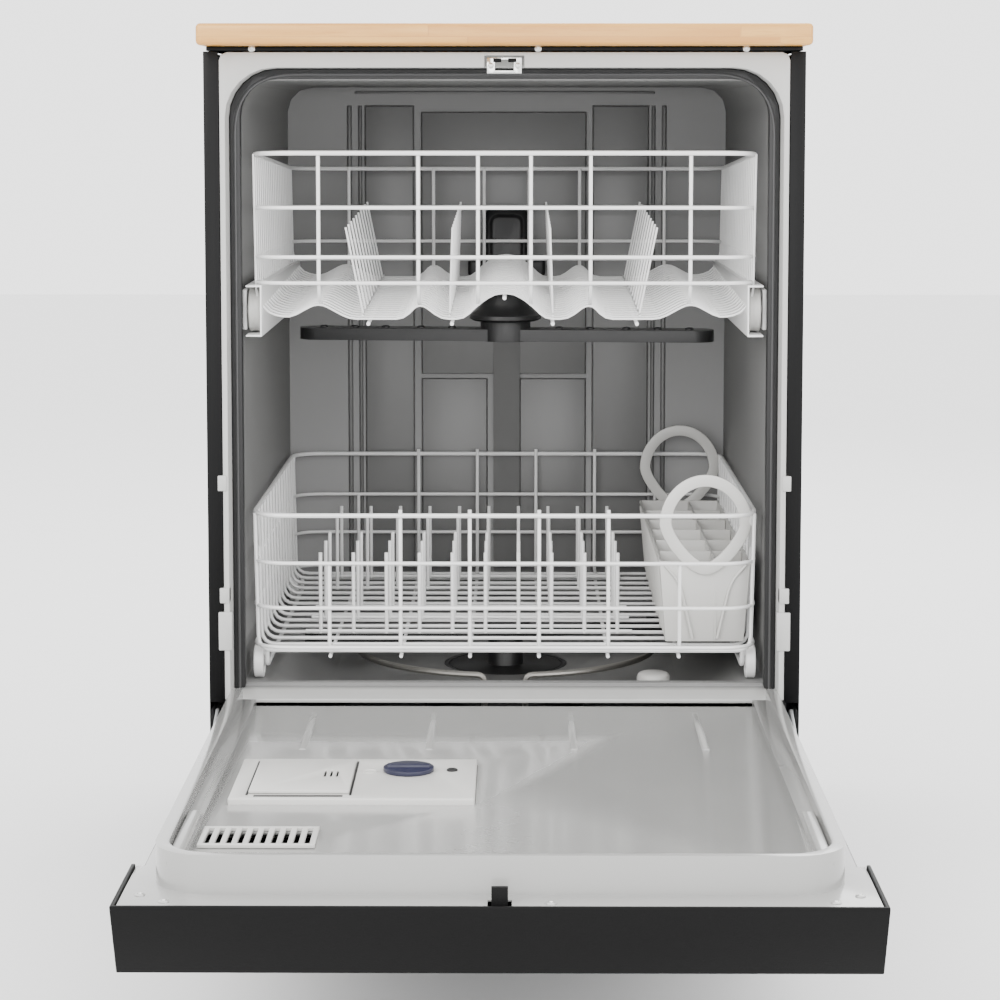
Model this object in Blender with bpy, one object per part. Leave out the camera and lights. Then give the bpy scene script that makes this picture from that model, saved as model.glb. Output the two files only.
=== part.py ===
"""A portable dishwasher with a worktop, its door open and its racks home. Metres, +Z up, door towards -Y.

Places are counted from the empty "cabinet", which stands on the floor under the middle of the
cabinet's front edge. It is set back so that the whole object, open door included, is centred.
"""

import math

import bmesh
import bpy
from mathutils import Vector

# Driving dimensions
HEIGHT = 0.924
HALF_WIDTH = 0.303
CABINET_DEPTH = 0.600
CABINET_SETBACK = 0.0380
SHEET = 0.0012
GAP = 0.0003
SIDES = (1, -1)

# Cabinet
WORKTOP_THICK = 0.022
WORKTOP_HALF = 0.307
WORKTOP_FRONT = -0.030
WORKTOP_BACK = 0.612
FRAME_LOW = 0.8973
PANEL_LOW = 0.035
PANEL_TOP = 0.8967
PANEL_RETURN = 0.0152
HINGE_NOTCH_TOP = 0.232
BASE_LOW = 0.052
BASE_TOP = 0.072
TOE_Y = 0.0560
TOE_TOP = 0.150

# Castors
CASTOR_RADIUS = 0.025
CASTOR_WIDTH = 0.020
CASTOR_X = 0.268
CASTOR_YS = {"front": 0.085, "rear": 0.555}
CASTOR_AXLE = 0.0035
CASTOR_SIDES = 24

# Tub: its mouth takes the door's liner, and the cavity behind it is a little narrower
FLANGE_HALF = 0.2872
FLANGE_TOP = 0.896
MOUTH_HALF = 0.2815
MOUTH_TOP = 0.8805
MOUTH_DEPTH = 0.050
MOUTH_RADIUS = 0.050
SILL_Z = 0.2385
LEDGE_Z = 0.242
CAVITY_HALF_FRONT = 0.272
CAVITY_HALF_BACK = 0.2675
CAVITY_TOP = 0.868
CAVITY_RADIUS = 0.030
CAVITY_BACK = 0.572
TUB_WALL = 0.0026
WELL_TOP = (0.2425, 0.060, 0.548)
WELL_FLOOR = (0.190, 0.110, 0.490)
WELL_FLOOR_Z = 0.2127
ARM_CENTRE_Y = 0.300
SUMP_HOLE = 0.070
HEATER_RADIUS = 0.170
HEATER_LEG_X = 0.022
HEATER_Z = 0.2330

# Door, in its open pose; the pivot is a point of the YZ plane
PIVOT_Y = -0.0075
PIVOT_Z = 0.2165
DOOR_END = -0.688
DOOR_SKIN_Z = 0.1605
PANEL_FAR = -0.5672
PANEL_NEAR = 0.045
DOOR_PANEL_HALF = 0.292
DOOR_FLANGE_Z = 0.222
CONSOLE_HALF = 0.302
CONSOLE_SLANT = 0.031
CONSOLE_NEAR = -0.568
CONSOLE_LIP_Z = 0.2233
FLANGE_FAR = -0.6835
FLANGE_END_HALF = 0.2975
LINER_HALF = 0.2765
LINER_FAR = -0.6505
LINER_NEAR = -0.0315
RIM_Z = 0.2535
RIM_INNER = 0.2655
TRACK_Z = 0.242
TRACK_INNER = 0.252
LINER_FLOOR_Z = 0.235
LINER_WALL = 0.002

# Dispenser
DISPENSER_X = (-0.239, -0.0235)
DISPENSER_Y = (-0.424, -0.278)
DISPENSER_TOP = 0.2405
LID_X = (-0.222, -0.134)
LID_Y = (-0.409, -0.292)
LID_SLOT_STARTS = (-0.160, -0.1545, -0.149)
LID_SLOT_Y = (-0.358, -0.334)
LID_THICK = 0.003
RINSE_X = -0.085
RINSE_Y = -0.324
RINSE_RADIUS = 0.023

# Latch and controls
LATCH_Y = -0.674
LATCH_PIVOT = (-0.668, 0.196)
PADDLE_HALF = 0.045
PADDLE_Y = (-0.650, -0.631)
BUTTON_XS = {"start_button": -0.200, "options_button": -0.160}
CONTROL_Y = -0.613
DIAL_X = 0.190
DIAL_Y = -0.604
DIAL_HEIGHT = 0.008
DIAL_RADIUS = 0.021

# Upper rack
WIRE = 0.004
UPPER_HALF = 0.2605
UPPER_FRONT = 0.022
UPPER_BACK = 0.528
UPPER_BAR_ZS = (0.6625, 0.689, 0.7395, 0.795)
UPPER_BACK_SHARE = 0.846
RACK_COLUMNS = (0.027, 0.088, 0.190)
WAVE = (
    (0.010, 0.650), (0.028, 0.638), (0.042, 0.6235), (0.065, 0.6235), (0.083, 0.637), (0.091, 0.637),
    (0.104, 0.6235), (0.160, 0.6235), (0.187, 0.638), (0.197, 0.638), (0.222, 0.6245), (0.238, 0.626),
)
WAVE_END = (0.247, 0.640)
UPPER_TINES = ((-0.147, -0.018), (-0.057, 0.003), (0.050, -0.003), (0.140, 0.018))
UPPER_TINE_LOW = 0.6262
UPPER_TINE_TOP = 0.714
UPPER_FLOOR_RISE = 0.018
ROLLER_RADIUS = 0.0242
ROLLER_Z = 0.633
ROLLER_YS = {"front": 0.066, "rear": 0.118}
ROLLER_X = (0.252, 0.264)
PIPE_Z = 0.628
PIPE_RADIUS = 0.0115
UPPER_ARM_Y = 0.275
UPPER_ARM_Z = 0.590

# Lower rack
LOWER_HALF = 0.264
LOWER_FRONT = 0.036
LOWER_BACK = 0.558
LOWER_BAR_ZS = (0.2815, 0.323, 0.370, 0.420)
LOWER_COLUMNS = (0.036, 0.108, 0.182)
LOWER_FLOOR = (0.2725, 0.2765)
LOWER_FLOOR_HALF = 0.2525
LOWER_TINE_XS = [-0.199 + 0.0356 * k for k in range(10)]
LOWER_TINE_YS = (0.145, 0.226, 0.290, 0.4136, 0.493)
LOWER_TINE_LOW = 0.2768
LOWER_TINE_TOP = 0.364
WHEEL_RADIUS = 0.018
WHEEL_Z = 0.2605
WHEEL_YS = {"front": 0.076, "rear": 0.518}
WHEEL_X = (0.2535, 0.2635)
LOWER_ARM_Z = 0.2515

# Cutlery basket
BASKET_X = (0.163, 0.2590)
BASKET_Y = (0.075, 0.534)
BASKET_Z = (0.2800, 0.366)
BASKET_SPLIT_X = 0.222
BASKET_ROWS = 6
HANDLE_TOP = 0.458

PLACES = {}


def clear_scene():
    """Leave nothing of the scene that the script starts in."""
    for obj in list(bpy.data.objects):
        bpy.data.objects.remove(obj, do_unlink=True)


def material(name, colour, roughness, metallic=0.0):
    """A plain Principled material."""
    made = bpy.data.materials.new(name)
    made.use_nodes = True
    shader = made.node_tree.nodes["Principled BSDF"]
    shader.inputs["Base Color"].default_value = (*colour, 1.0)
    shader.inputs["Roughness"].default_value = roughness
    shader.inputs["Metallic"].default_value = metallic
    return made


def empty(name, at, parent=None):
    """An empty at a place counted from the cabinet's front edge; a moving body's stands on its axis."""
    made = bpy.data.objects.new(name, None)
    bpy.context.scene.collection.objects.link(made)
    PLACES[name] = Vector(at)
    if parent:
        made.parent = parent
        made.location = PLACES[name] - PLACES[parent.name]
    return made


def solid(name, bm, parent, finish=None, smooth=None):
    """Make an object of a bmesh whose places are counted from the cabinet's front edge."""
    bmesh.ops.recalc_face_normals(bm, faces=bm.faces)
    bmesh.ops.translate(bm, verts=bm.verts, vec=-PLACES[parent.name])
    mesh = bpy.data.meshes.new(name)
    bm.to_mesh(mesh)
    bm.free()
    made = bpy.data.objects.new(name, mesh)
    bpy.context.scene.collection.objects.link(made)
    made.parent = parent
    if finish:
        mesh.materials.append(finish)
    if smooth:
        mesh.shade_smooth()
        mesh.set_sharp_from_angle(angle=math.radians(smooth))
    return made


def combine(target, operation, tool_bms):
    """Add one Boolean for each tool, whose object is hidden."""
    for tool_bm in tool_bms:
        tool = solid(f"{target.name}_tool", tool_bm, target.parent)
        tool.hide_render = True
        tool.display_type = "WIRE"
        boolean = target.modifiers.new(operation.lower(), "BOOLEAN")
        boolean.operation = operation
        boolean.solver = "EXACT"
        boolean.object = tool


def fuse(target, *tool_bms):
    """Join more shapes to an object, into one body."""
    combine(target, "UNION", tool_bms)


def cut(target, *tool_bms):
    """Cut shapes out of an object."""
    combine(target, "DIFFERENCE", tool_bms)


def block(lo, hi):
    """A box between two corners."""
    bm = bmesh.new()
    bmesh.ops.create_cube(bm, size=1.0)
    size = [b - a for a, b in zip(lo, hi)]
    middle = [(a + b) / 2 for a, b in zip(lo, hi)]
    bmesh.ops.scale(bm, verts=bm.verts, vec=size)
    bmesh.ops.translate(bm, verts=bm.verts, vec=middle)
    return bm


def side_block(side, x_range, y_range, z_range):
    """A box given for the right side, or its mirror image on the left."""
    xs = sorted(side * x for x in x_range)
    return block((xs[0], y_range[0], z_range[0]), (xs[1], y_range[1], z_range[1]))


def prism(outline, axis, low, high):
    """An outline in the other two axes, in X, Y, Z order, extruded along an axis."""
    bm = bmesh.new()
    index = "XYZ".index(axis)

    def corner(point, along):
        place = list(point)
        place.insert(index, along)
        return bm.verts.new(place)

    ends = [[corner(point, along) for point in outline] for along in (low, high)]
    bm.faces.new(ends[0])
    bm.faces.new(ends[1][::-1])
    for k in range(len(outline)):
        after = (k + 1) % len(outline)
        bm.faces.new((ends[0][k], ends[0][after], ends[1][after], ends[1][k]))
    return bm


def arc(centre, radius, start, end, steps):
    """Points along an arc, with angles in degrees."""
    angles = [math.radians(start + (end - start) * k / steps) for k in range(steps + 1)]
    return [(centre[0] + radius * math.cos(a), centre[1] + radius * math.sin(a)) for a in angles]


def circle(centre, radius, sides):
    """A round outline with a flat side at its lowest point."""
    half_step = 180 / sides
    return arc(centre, radius, -90 + half_step, 270 - half_step, sides - 1)


def cylinder(axis, centre, radius, low, high, sides=20):
    """A round bar along an axis; centre is in the other two axes."""
    return prism(circle(centre, radius, sides), axis, low, high)


def rounded_top(half, low, high, radius, steps=6):
    """An upright outline, square below and with two round corners above."""
    right = arc((half - radius, high - radius), radius, 0, 90, steps)
    left = arc((radius - half, high - radius), radius, 90, 180, steps)
    return [(half, low)] + right + left + [(-half, low)]


def rounded_far(half, near, far, radius, steps=6):
    """An outline in XY, square at its near end and with two round corners at its far, lower-Y end."""
    right = arc((half - radius, far + radius), radius, 0, -90, steps)
    left = arc((radius - half, far + radius), radius, -90, -180, steps)
    return [(half, near)] + right + left + [(-half, near)]


def loft(first, second):
    """A solid between two flat outlines, each a list of the same number of places."""
    bm = bmesh.new()
    ends = [[bm.verts.new(point) for point in outline] for outline in (first, second)]
    bm.faces.new(ends[0])
    bm.faces.new(ends[1][::-1])
    count = len(first)
    for k in range(count):
        after = (k + 1) % count
        bm.faces.new((ends[0][k], ends[0][after], ends[1][after], ends[1][k]))
    return bm


def well(grow, low, high):
    """The tub's well as a solid that narrows downwards, made larger all round for its outside."""
    outlines = []
    for (half, near, far), z in ((WELL_FLOOR, low), (WELL_TOP, high)):
        half, near, far = half + grow, near - grow, far + grow
        outlines.append([(-half, near, z), (half, near, z), (half, far, z), (-half, far, z)])
    return loft(*outlines)


def cavity(grow, front, back):
    """The tub behind its mouth as a solid that narrows to the back, made larger for its outside."""
    outlines = []
    for half, y in ((CAVITY_HALF_FRONT, front), (CAVITY_HALF_BACK, back)):
        section = rounded_top(half + grow, LEDGE_Z - grow, CAVITY_TOP + grow, CAVITY_RADIUS + grow, 3)
        outlines.append([(x, y, z) for x, z in section])
    return loft(*outlines)


def merged(*parts):
    """Put separate shapes in one bmesh, for one Boolean tool."""
    whole = bmesh.new()
    for part in parts:
        mesh = bpy.data.meshes.new("merged")
        part.to_mesh(mesh)
        part.free()
        whole.from_mesh(mesh)
        bpy.data.meshes.remove(mesh)
    return whole


def spans(bars, width, knots):
    """The steps along one side of a grid, and whether a bar fills each."""
    steps = sorted([bar - width / 2 for bar in bars] + [bar + width / 2 for bar in bars] + list(knots))
    filled = [any(abs((a + b) / 2 - bar) < width / 2 for bar in bars) for a, b in zip(steps, steps[1:])]
    return steps, filled


def lattice(u_bars, v_bars, u_width, v_width, place, u_knots=(), v_knots=(), ring=False):
    """A grid of bars as one closed mesh. place(u, v, side) puts each corner, on the inner side 0 or
    the outer side 1; a ring joins its last step along u to its first."""
    us, u_filled = spans(u_bars, u_width, u_knots)
    vs, v_filled = spans(v_bars, v_width, v_knots)
    u_count = len(u_filled)
    cells = {(i, j) for i in range(u_count) for j in range(len(v_filled)) if u_filled[i] or v_filled[j]}
    bm = bmesh.new()
    corners = {}

    def corner(i, j, side):
        key = (i % u_count if ring else i, j, side)
        if key not in corners:
            corners[key] = bm.verts.new(place(us[key[0]], vs[j], side))
        return corners[key]

    for i, j in sorted(cells):
        around = [(i, j), (i + 1, j), (i + 1, j + 1), (i, j + 1)]
        next_cells = [(i, j - 1), (i + 1, j), (i, j + 1), (i - 1, j)]
        bm.faces.new([corner(*c, 1) for c in around])
        bm.faces.new([corner(*c, 0) for c in reversed(around)])
        for k, (ni, nj) in enumerate(next_cells):
            neighbour = (ni % u_count, nj) if ring else (ni, nj)
            if neighbour not in cells:
                a, b = around[k], around[(k + 1) % 4]
                bm.faces.new((corner(*a, 0), corner(*b, 0), corner(*b, 1), corner(*a, 1)))
    return bm


def rack_walls(half, front, back, bar_zs, columns, side_bars, back_share):
    """The four walls of a rack as one ring of bars; u counts the walls from the front left corner."""
    corners = ((-half, front), (half, front), (half, back), (-half, back))
    low = bar_zs[0]

    def place(u, v, side):
        wall = math.floor(u)
        inset = 0.0 if side else WIRE
        a, b = (Vector(corners[k % 4]) for k in (wall, wall + 1))
        x, y = a.lerp(b, u - wall)
        x = max(min(x, half - inset), inset - half)
        y = max(min(y, back - inset), front + inset)
        sink = 1 - (1 - back_share) * (y - front) / (back - front)
        return x, y, low + (v - low) * sink

    width = WIRE / (2 * half)
    across = [0.5 + sign * x / (2 * half) for x in columns for sign in SIDES]
    along = [(k + 1) / (side_bars + 1) for k in range(side_bars)]
    bars = [0, 1, 2, 3]
    for wall, shares in enumerate((across, along, across, along)):
        bars += [wall + share for share in shares]
    knots = (0, 1, 2, 3, 4 - width / 2)
    return lattice(sorted(bars), bar_zs, width, WIRE, place, u_knots=knots, ring=True)


def capsule(centre, half_length, half_width, turn, steps=8):
    """A long outline with round ends, turned about its centre by an angle in degrees."""
    run = half_length - half_width
    points = arc((run, 0), half_width, -90, 90, steps) + arc((-run, 0), half_width, 90, 270, steps)
    c, s = math.cos(math.radians(turn)), math.sin(math.radians(turn))
    return [(centre[0] + c * x - s * y, centre[1] + s * x + c * y) for x, y in points]


def worktop(parent, laminate, black):
    """The worktop board and the black frame that it is screwed to."""
    low = HEIGHT - WORKTOP_THICK
    front, back = WORKTOP_FRONT, WORKTOP_BACK
    board = block((-WORKTOP_HALF, front, low), (WORKTOP_HALF, back, HEIGHT))
    bmesh.ops.bevel(board, geom=board.edges[:], offset=0.002, segments=1, affect="EDGES")
    solid("worktop", board, parent, laminate)

    depth = CABINET_DEPTH - 0.0035
    frame = lattice(
        (-0.285, 0.285),
        (0.0165, depth - 0.015),
        0.030,
        0.030,
        lambda x, y, side: (x, y, FRAME_LOW if side == 0 else low - GAP),
    )
    solid("worktop_frame", frame, parent, black)


def side_panel(side, parent, finish):
    """A side panel: sheet with its front and rear edges returned inwards, notched for the hinge."""
    outer = HALF_WIDTH
    inner = outer - SHEET
    front_return = outer - PANEL_RETURN
    rear_return = outer - 0.013
    outline = [
        (outer, 0.0),
        (outer, CABINET_DEPTH),
        (rear_return, CABINET_DEPTH),
        (rear_return, CABINET_DEPTH - SHEET),
        (inner, CABINET_DEPTH - SHEET),
        (inner, SHEET),
        (front_return, SHEET),
        (front_return, 0.0),
    ]
    outline = [(side * x, y) for x, y in outline]
    name = "right_side_panel" if side > 0 else "left_side_panel"
    panel = solid(name, prism(outline, "Z", PANEL_LOW, PANEL_TOP), parent, finish)
    cut(panel, side_block(side, (front_return - 0.002, inner), (-0.01, 0.01), (0.0, HINGE_NOTCH_TOP)))


def rear_panel(parent, finish):
    """The rear sheet, with an opening for the coupling panel."""
    near = CABINET_DEPTH + 0.0005
    half = HALF_WIDTH - 0.0005
    panel = block((-half, near, PANEL_LOW), (half, near + SHEET, PANEL_TOP))
    sheet = solid("rear_panel", panel, parent, finish)
    cut(sheet, block((-0.130, near - 0.01, 0.110), (0.010, near + 0.01, 0.210)))


def hinge_bracket(side):
    """An upright plate on the base frame that carries the door's hinge pin."""
    outline = [(0.066, BASE_LOW), (0.190, BASE_LOW), (0.190, 0.120), (0.050, 0.230)]
    outline += arc((PIVOT_Y, PIVOT_Z), 0.0105, 90, 250, 6) + [(0.040, 0.170)]
    xs = sorted((side * 0.2968, side * 0.2998))
    return prism(outline, "X", *xs)


def castor_fork(side, y):
    """Two ears below the base frame and the axle between them."""
    ears = [side_block(side, x, (y - 0.012, y + 0.012), (0.014, BASE_LOW + 0.002)) for x in
            ((0.2525, 0.2555), (0.2805, 0.2835))]
    xs = sorted((side * 0.254, side * 0.282))
    return ears + [cylinder("X", (y, CASTOR_RADIUS), CASTOR_AXLE, *xs, sides=12)]


def base_frame(parent, steel):
    """Two rails and two cross members, with the hinge brackets, hinge pins, forks and axles."""
    rails = lattice(
        (-0.268, 0.268),
        (0.086, 0.565),
        0.056,
        0.040,
        lambda x, y, side: (x, y, BASE_LOW if side == 0 else BASE_TOP),
    )
    frame = solid("base_frame", rails, parent, steel)
    for side in SIDES:
        fuse(frame, side_block(side, (0.290, 0.2985), (0.070, 0.185), (0.053, 0.071)), hinge_bracket(side))
        fuse(frame, cylinder("X", (PIVOT_Y, PIVOT_Z), 0.0045, *sorted((side * 0.2925, side * 0.2975)), 12))
        for y in CASTOR_YS.values():
            fuse(frame, *castor_fork(side, y))


def castors(cabinet, rubber):
    """Four castor wheels, each turning on its own axle."""
    for end, y in CASTOR_YS.items():
        for side in SIDES:
            name = f"castor_{end}_{'right' if side > 0 else 'left'}"
            axle = empty(f"{name}_axle", (side * CASTOR_X, y, CASTOR_RADIUS), cabinet)
            half = CASTOR_WIDTH / 2
            xs = (side * CASTOR_X - half, side * CASTOR_X + half)
            wheel = cylinder("X", (y, CASTOR_RADIUS), CASTOR_RADIUS / math.cos(math.pi / CASTOR_SIDES), *xs,
                             sides=CASTOR_SIDES)
            made = solid(name, wheel, axle, rubber, smooth=40)
            bore = CASTOR_AXLE + 0.0007
            cut(made, cylinder("X", (y, CASTOR_RADIUS), bore, xs[0] - 0.01, xs[1] + 0.01, 12))


def base_parts(parent, black, iron, plastic, steel):
    """Toe panel, counterweight, coupling panel and the two door springs."""
    toe = block((-0.2952, TOE_Y, 0.030), (0.2952, TOE_Y + SHEET, TOE_TOP))
    solid("toe_panel", toe, parent, black)
    weight = block((-0.200, 0.548, 0.0725), (0.200, 0.592, 0.165))
    bmesh.ops.bevel(weight, geom=weight.edges[:], offset=0.004, segments=1, affect="EDGES")
    solid("counterweight", weight, parent, iron)

    plate = block((-0.138, 0.5955, 0.102), (0.018, 0.5990, 0.218))
    panel = solid("coupling_panel", plate, parent, plastic)
    fuse(
        panel,
        cylinder("Y", (-0.100, 0.175), 0.013, 0.597, 0.6115, 18),
        cylinder("Y", (-0.060, 0.175), 0.010, 0.597, 0.6115, 18),
        block((-0.035, 0.597, 0.130), (0.003, 0.6090, 0.160)),
    )
    cut(
        panel,
        cylinder("Y", (-0.100, 0.175), 0.009, 0.590, 0.620, 18),
        cylinder("Y", (-0.060, 0.175), 0.006, 0.590, 0.620, 18),
        block((-0.030, 0.600, 0.134), (-0.002, 0.620, 0.156)),
    )
    for side in SIDES:
        door_spring(side, parent, steel)


def door_spring(side, parent, steel):
    """A door counterbalance spring: a close coil along Y with a straight hook at each end."""
    x, z, radius = side * 0.2870, 0.200, 0.0062
    near, far, turns, steps = 0.080, 0.250, 12, 6
    count = turns * steps
    points = [(x, near - 0.022, z), (x, near - 0.004, z)]
    for k in range(count + 1):
        turn = 2 * math.pi * k / steps
        points.append((x + radius * math.sin(turn), near + (far - near) * k / count, z + radius * math.cos(turn)))
    points += [(x, far + 0.004, z), (x, far + 0.022, z)]
    wire_curve(f"{'right' if side > 0 else 'left'}_door_spring", points, 0.0013, parent, steel)


def wire_curve(name, points, radius, parent, finish, resolution=0, cyclic=False):
    """A round wire along points, as a curve with a bevel."""
    curve = bpy.data.curves.new(name, "CURVE")
    curve.dimensions = "3D"
    curve.bevel_depth = radius
    curve.bevel_resolution = resolution
    curve.use_fill_caps = True
    spline = curve.splines.new("POLY")
    spline.points.add(len(points) - 1)
    for at, point in zip(spline.points, points):
        at.co = (*(Vector(point) - PLACES[parent.name]), 1.0)
    spline.use_cyclic_u = cyclic
    made = bpy.data.objects.new(name, curve)
    bpy.context.scene.collection.objects.link(made)
    made.parent = parent
    curve.materials.append(finish)
    return made


def tub(parent, finish):
    """The tub: a thin mouth and flange, a tapered cavity and a sloping well down to the sump."""
    wall, front = TUB_WALL, MOUTH_DEPTH - 0.002
    flange = rounded_top(FLANGE_HALF, SILL_Z - 0.004, FLANGE_TOP, 0.008, 2)
    body = solid("tub", prism(flange, "Y", GAP, MOUTH_DEPTH + wall), parent, finish)
    fuse(
        body,
        cavity(wall, front + 0.001, CAVITY_BACK + wall),
        well(wall, WELL_FLOOR_Z - wall, LEDGE_Z - 0.001),
        block((-0.276, -0.014, SILL_Z - 0.004), (0.276, 0.010, SILL_Z)),
    )
    mouth = rounded_top(MOUTH_HALF, SILL_Z, MOUTH_TOP, MOUTH_RADIUS)
    leg_y = ARM_CENTRE_Y - HEATER_RADIUS
    cut(
        body,
        prism(mouth, "Y", -0.020, MOUTH_DEPTH),
        cavity(0.0, front, CAVITY_BACK),
        well(0.0, WELL_FLOOR_Z, LEDGE_Z + 0.001),
        cylinder("Z", (0, ARM_CENTRE_Y), SUMP_HOLE, 0.15, 0.24, 28),
        block((-0.020, -0.002, 0.8735), (0.020, 0.022, 0.8925)),
        cylinder("Z", (-HEATER_LEG_X, leg_y), 0.0055, 0.19, 0.24, 10),
        cylinder("Z", (HEATER_LEG_X, leg_y), 0.0055, 0.19, 0.24, 10),
    )


def tub_fittings(parent, black, steel, grey, white):
    """Gasket, strike, feed tube, sump, filter, pumps, heater and roller brackets."""
    gasket_outer = prism(rounded_top(0.2810, SILL_Z + 0.001, 0.8800, 0.0495), "Y", 0.0355, 0.0495)
    gasket = solid("tub_gasket", gasket_outer, parent, black, smooth=30)
    cut(gasket, prism(rounded_top(0.2700, 0.2, 0.8700, 0.0385), "Y", 0.02, 0.06))

    strike = solid("door_strike", block((-0.0175, -0.0006, 0.8745), (0.0175, 0.010, 0.8905)), parent, steel)
    cut(strike, block((-0.0095, -0.010, 0.8770), (0.0095, 0.020, 0.8885)))

    tube = solid("feed_tube", block((-0.016, 0.5635, 0.2430), (0.016, 0.5715, 0.700)), parent, grey)
    fuse(tube, block((-0.026, 0.5555, 0.600), (0.026, 0.5640, 0.700)))
    fuse(tube, cylinder("Y", (0, PIPE_Z), 0.018, 0.5335, 0.5560))
    cut(tube, cylinder("Y", (0, PIPE_Z), 0.010, 0.525, 0.5600, 16))

    centre = (0, ARM_CENTRE_Y)
    sump = solid("sump", cylinder("Z", centre, 0.090, 0.140, 0.2093, 28), parent, grey, smooth=40)
    fuse(sump, cylinder("Z", centre, SUMP_HOLE - 0.0005, 0.150, 0.2120, 28))
    cut(sump, cylinder("Z", centre, 0.064, 0.148, 0.230, 28))

    screen = solid("filter_screen", cylinder("Z", centre, 0.0635, 0.2060, 0.2120, 28), parent, grey, smooth=40)
    fuse(screen, cylinder("Z", centre, 0.020, 0.160, 0.2443, 20))

    motor = cylinder("X", (ARM_CENTRE_Y, 0.0920), 0.045, -0.200, -0.020, 24)
    wash = solid("wash_pump", motor, parent, steel, smooth=40)
    fuse(wash, cylinder("Z", (-0.045, ARM_CENTRE_Y), 0.018, 0.110, 0.1397, 16))
    pump = cylinder("X", (ARM_CENTRE_Y, 0.1000), 0.030, 0.020, 0.115, 20)
    drain = solid("drain_pump", pump, parent, grey, smooth=40)
    fuse(drain, cylinder("Z", (0.040, ARM_CENTRE_Y), 0.012, 0.110, 0.1397, 12))

    heater(parent, steel)
    for side in SIDES:
        roller_bracket(side, parent, white)


def heater(parent, steel):
    """A heating element: a ring in the well whose two ends turn down through the tub's floor."""
    opening = math.degrees(math.asin(HEATER_LEG_X / HEATER_RADIUS))
    ring = arc((0, ARM_CENTRE_Y), HEATER_RADIUS, -90 + opening, 270 - opening, 32)
    leg_y, leg_end = ARM_CENTRE_Y - HEATER_RADIUS, 0.195
    points = [(HEATER_LEG_X, leg_y, leg_end)] + [(x, y, HEATER_Z) for x, y in ring]
    points += [(-HEATER_LEG_X, leg_y, leg_end)]
    wire_curve("heater_element", points, 0.0035, parent, steel, resolution=1)


def roller_bracket(side, parent, white):
    """A plate on the tub's wall with the two axles of the upper rack's rollers."""
    name = f"{'right' if side > 0 else 'left'}_roller_bracket"
    plate = solid(name, side_block(side, (0.2664, 0.2706), (0.052, 0.148), (0.612, 0.654)), parent, white)
    for y in ROLLER_YS.values():
        fuse(plate, cylinder("X", (y, ROLLER_Z), 0.004, *sorted((side * 0.2513, side * 0.268)), 12))


def rollers(cabinet, white):
    """Four rollers on the tub's walls that the upper rack's rails run on."""
    for end, y in ROLLER_YS.items():
        for side in SIDES:
            name = f"roller_{end}_{'right' if side > 0 else 'left'}"
            axle = empty(f"{name}_axle", (side * sum(ROLLER_X) / 2, y, ROLLER_Z), cabinet)
            xs = sorted(side * x for x in ROLLER_X)
            made = solid(name, cylinder("X", (y, ROLLER_Z), ROLLER_RADIUS, *xs), axle, white, smooth=40)
            cut(made, cylinder("X", (y, ROLLER_Z), 0.0045, xs[0] - 0.01, xs[1] + 0.01, 12))


def float_dome(cabinet, white):
    """The float that stops the fill, which lifts a few millimetres."""
    guide = empty("float_guide", (0.160, 0.135, 0.213), cabinet)
    dome = cylinder("Z", (0.160, 0.135), 0.018, 0.2130, 0.2360, 18)
    top = [e for e in dome.edges if all(v.co.z > 0.23 for v in e.verts)]
    bmesh.ops.bevel(dome, geom=top, offset=0.005, segments=2, profile=0.5, affect="EDGES")
    solid("float_dome", dome, guide, white, smooth=50)


def door_outer_panel(door, finish):
    """The door's outer panel: a sheet pan whose near end tucks under the tub."""
    half, low = DOOR_PANEL_HALF, DOOR_SKIN_Z + 0.001
    top = DOOR_FLANGE_Z - 0.0018
    pan = solid("door_outer_panel", block((-half, PANEL_FAR, low), (half, PANEL_NEAR, top)), door, finish)
    inside = half - SHEET
    cut(pan, block((-inside, PANEL_FAR + SHEET, low + SHEET), (inside, PANEL_NEAR + 0.01, top + 0.01)))
    tail = [(-0.0300, top + 0.01), (PANEL_NEAR + 0.01, top + 0.01), (PANEL_NEAR + 0.01, 0.172), (0.030, 0.172)]
    cut(pan, prism(tail, "X", -half - 0.01, half + 0.01))


def door_liner(door, finish):
    """The moulded inner door: a flange, a raised rim, a track inside each side and a sunk floor."""
    wall = LINER_WALL
    near, far = LINER_NEAR, LINER_FAR
    floor_low = LINER_FLOOR_Z - wall
    raised = prism(rounded_far(LINER_HALF, near, far, 0.045), "Z", DOOR_FLANGE_Z - 0.0015, RIM_Z)
    liner = solid("door_liner", raised, door, finish)
    sheet = (DOOR_FLANGE_Z - 0.0015, DOOR_FLANGE_Z)
    fuse(
        liner,
        block((-0.2905, FLANGE_FAR, sheet[0]), (0.2905, near, sheet[1])),
        block((-FLANGE_END_HALF, FLANGE_FAR, sheet[0]), (FLANGE_END_HALF, CONSOLE_NEAR - 0.002, sheet[1])),
    )
    deep_far = far + 0.0105
    cut(
        liner,
        prism(rounded_far(RIM_INNER, near + 0.01, far + 0.008, 0.037), "Z", TRACK_Z, RIM_Z + 0.01),
        prism(rounded_far(TRACK_INNER, near + 0.01, deep_far, 0.010), "Z", LINER_FLOOR_Z, TRACK_Z + 0.001),
        prism(rounded_far(TRACK_INNER - wall, near - wall, deep_far + wall, 0.008), "Z", 0.21, floor_low),
        block((DISPENSER_X[0] - 0.0005, DISPENSER_Y[0] - 0.0005, 0.21),
              (DISPENSER_X[1] + 0.0005, DISPENSER_Y[1] + 0.0005, 0.25)),
        block((-0.2445, -0.5575, 0.21), (-0.1565, -0.5145, 0.25)),
        block((-0.0095, FLANGE_FAR + 0.0015, 0.20), (0.0095, -0.6640, 0.23)),
    )


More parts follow.
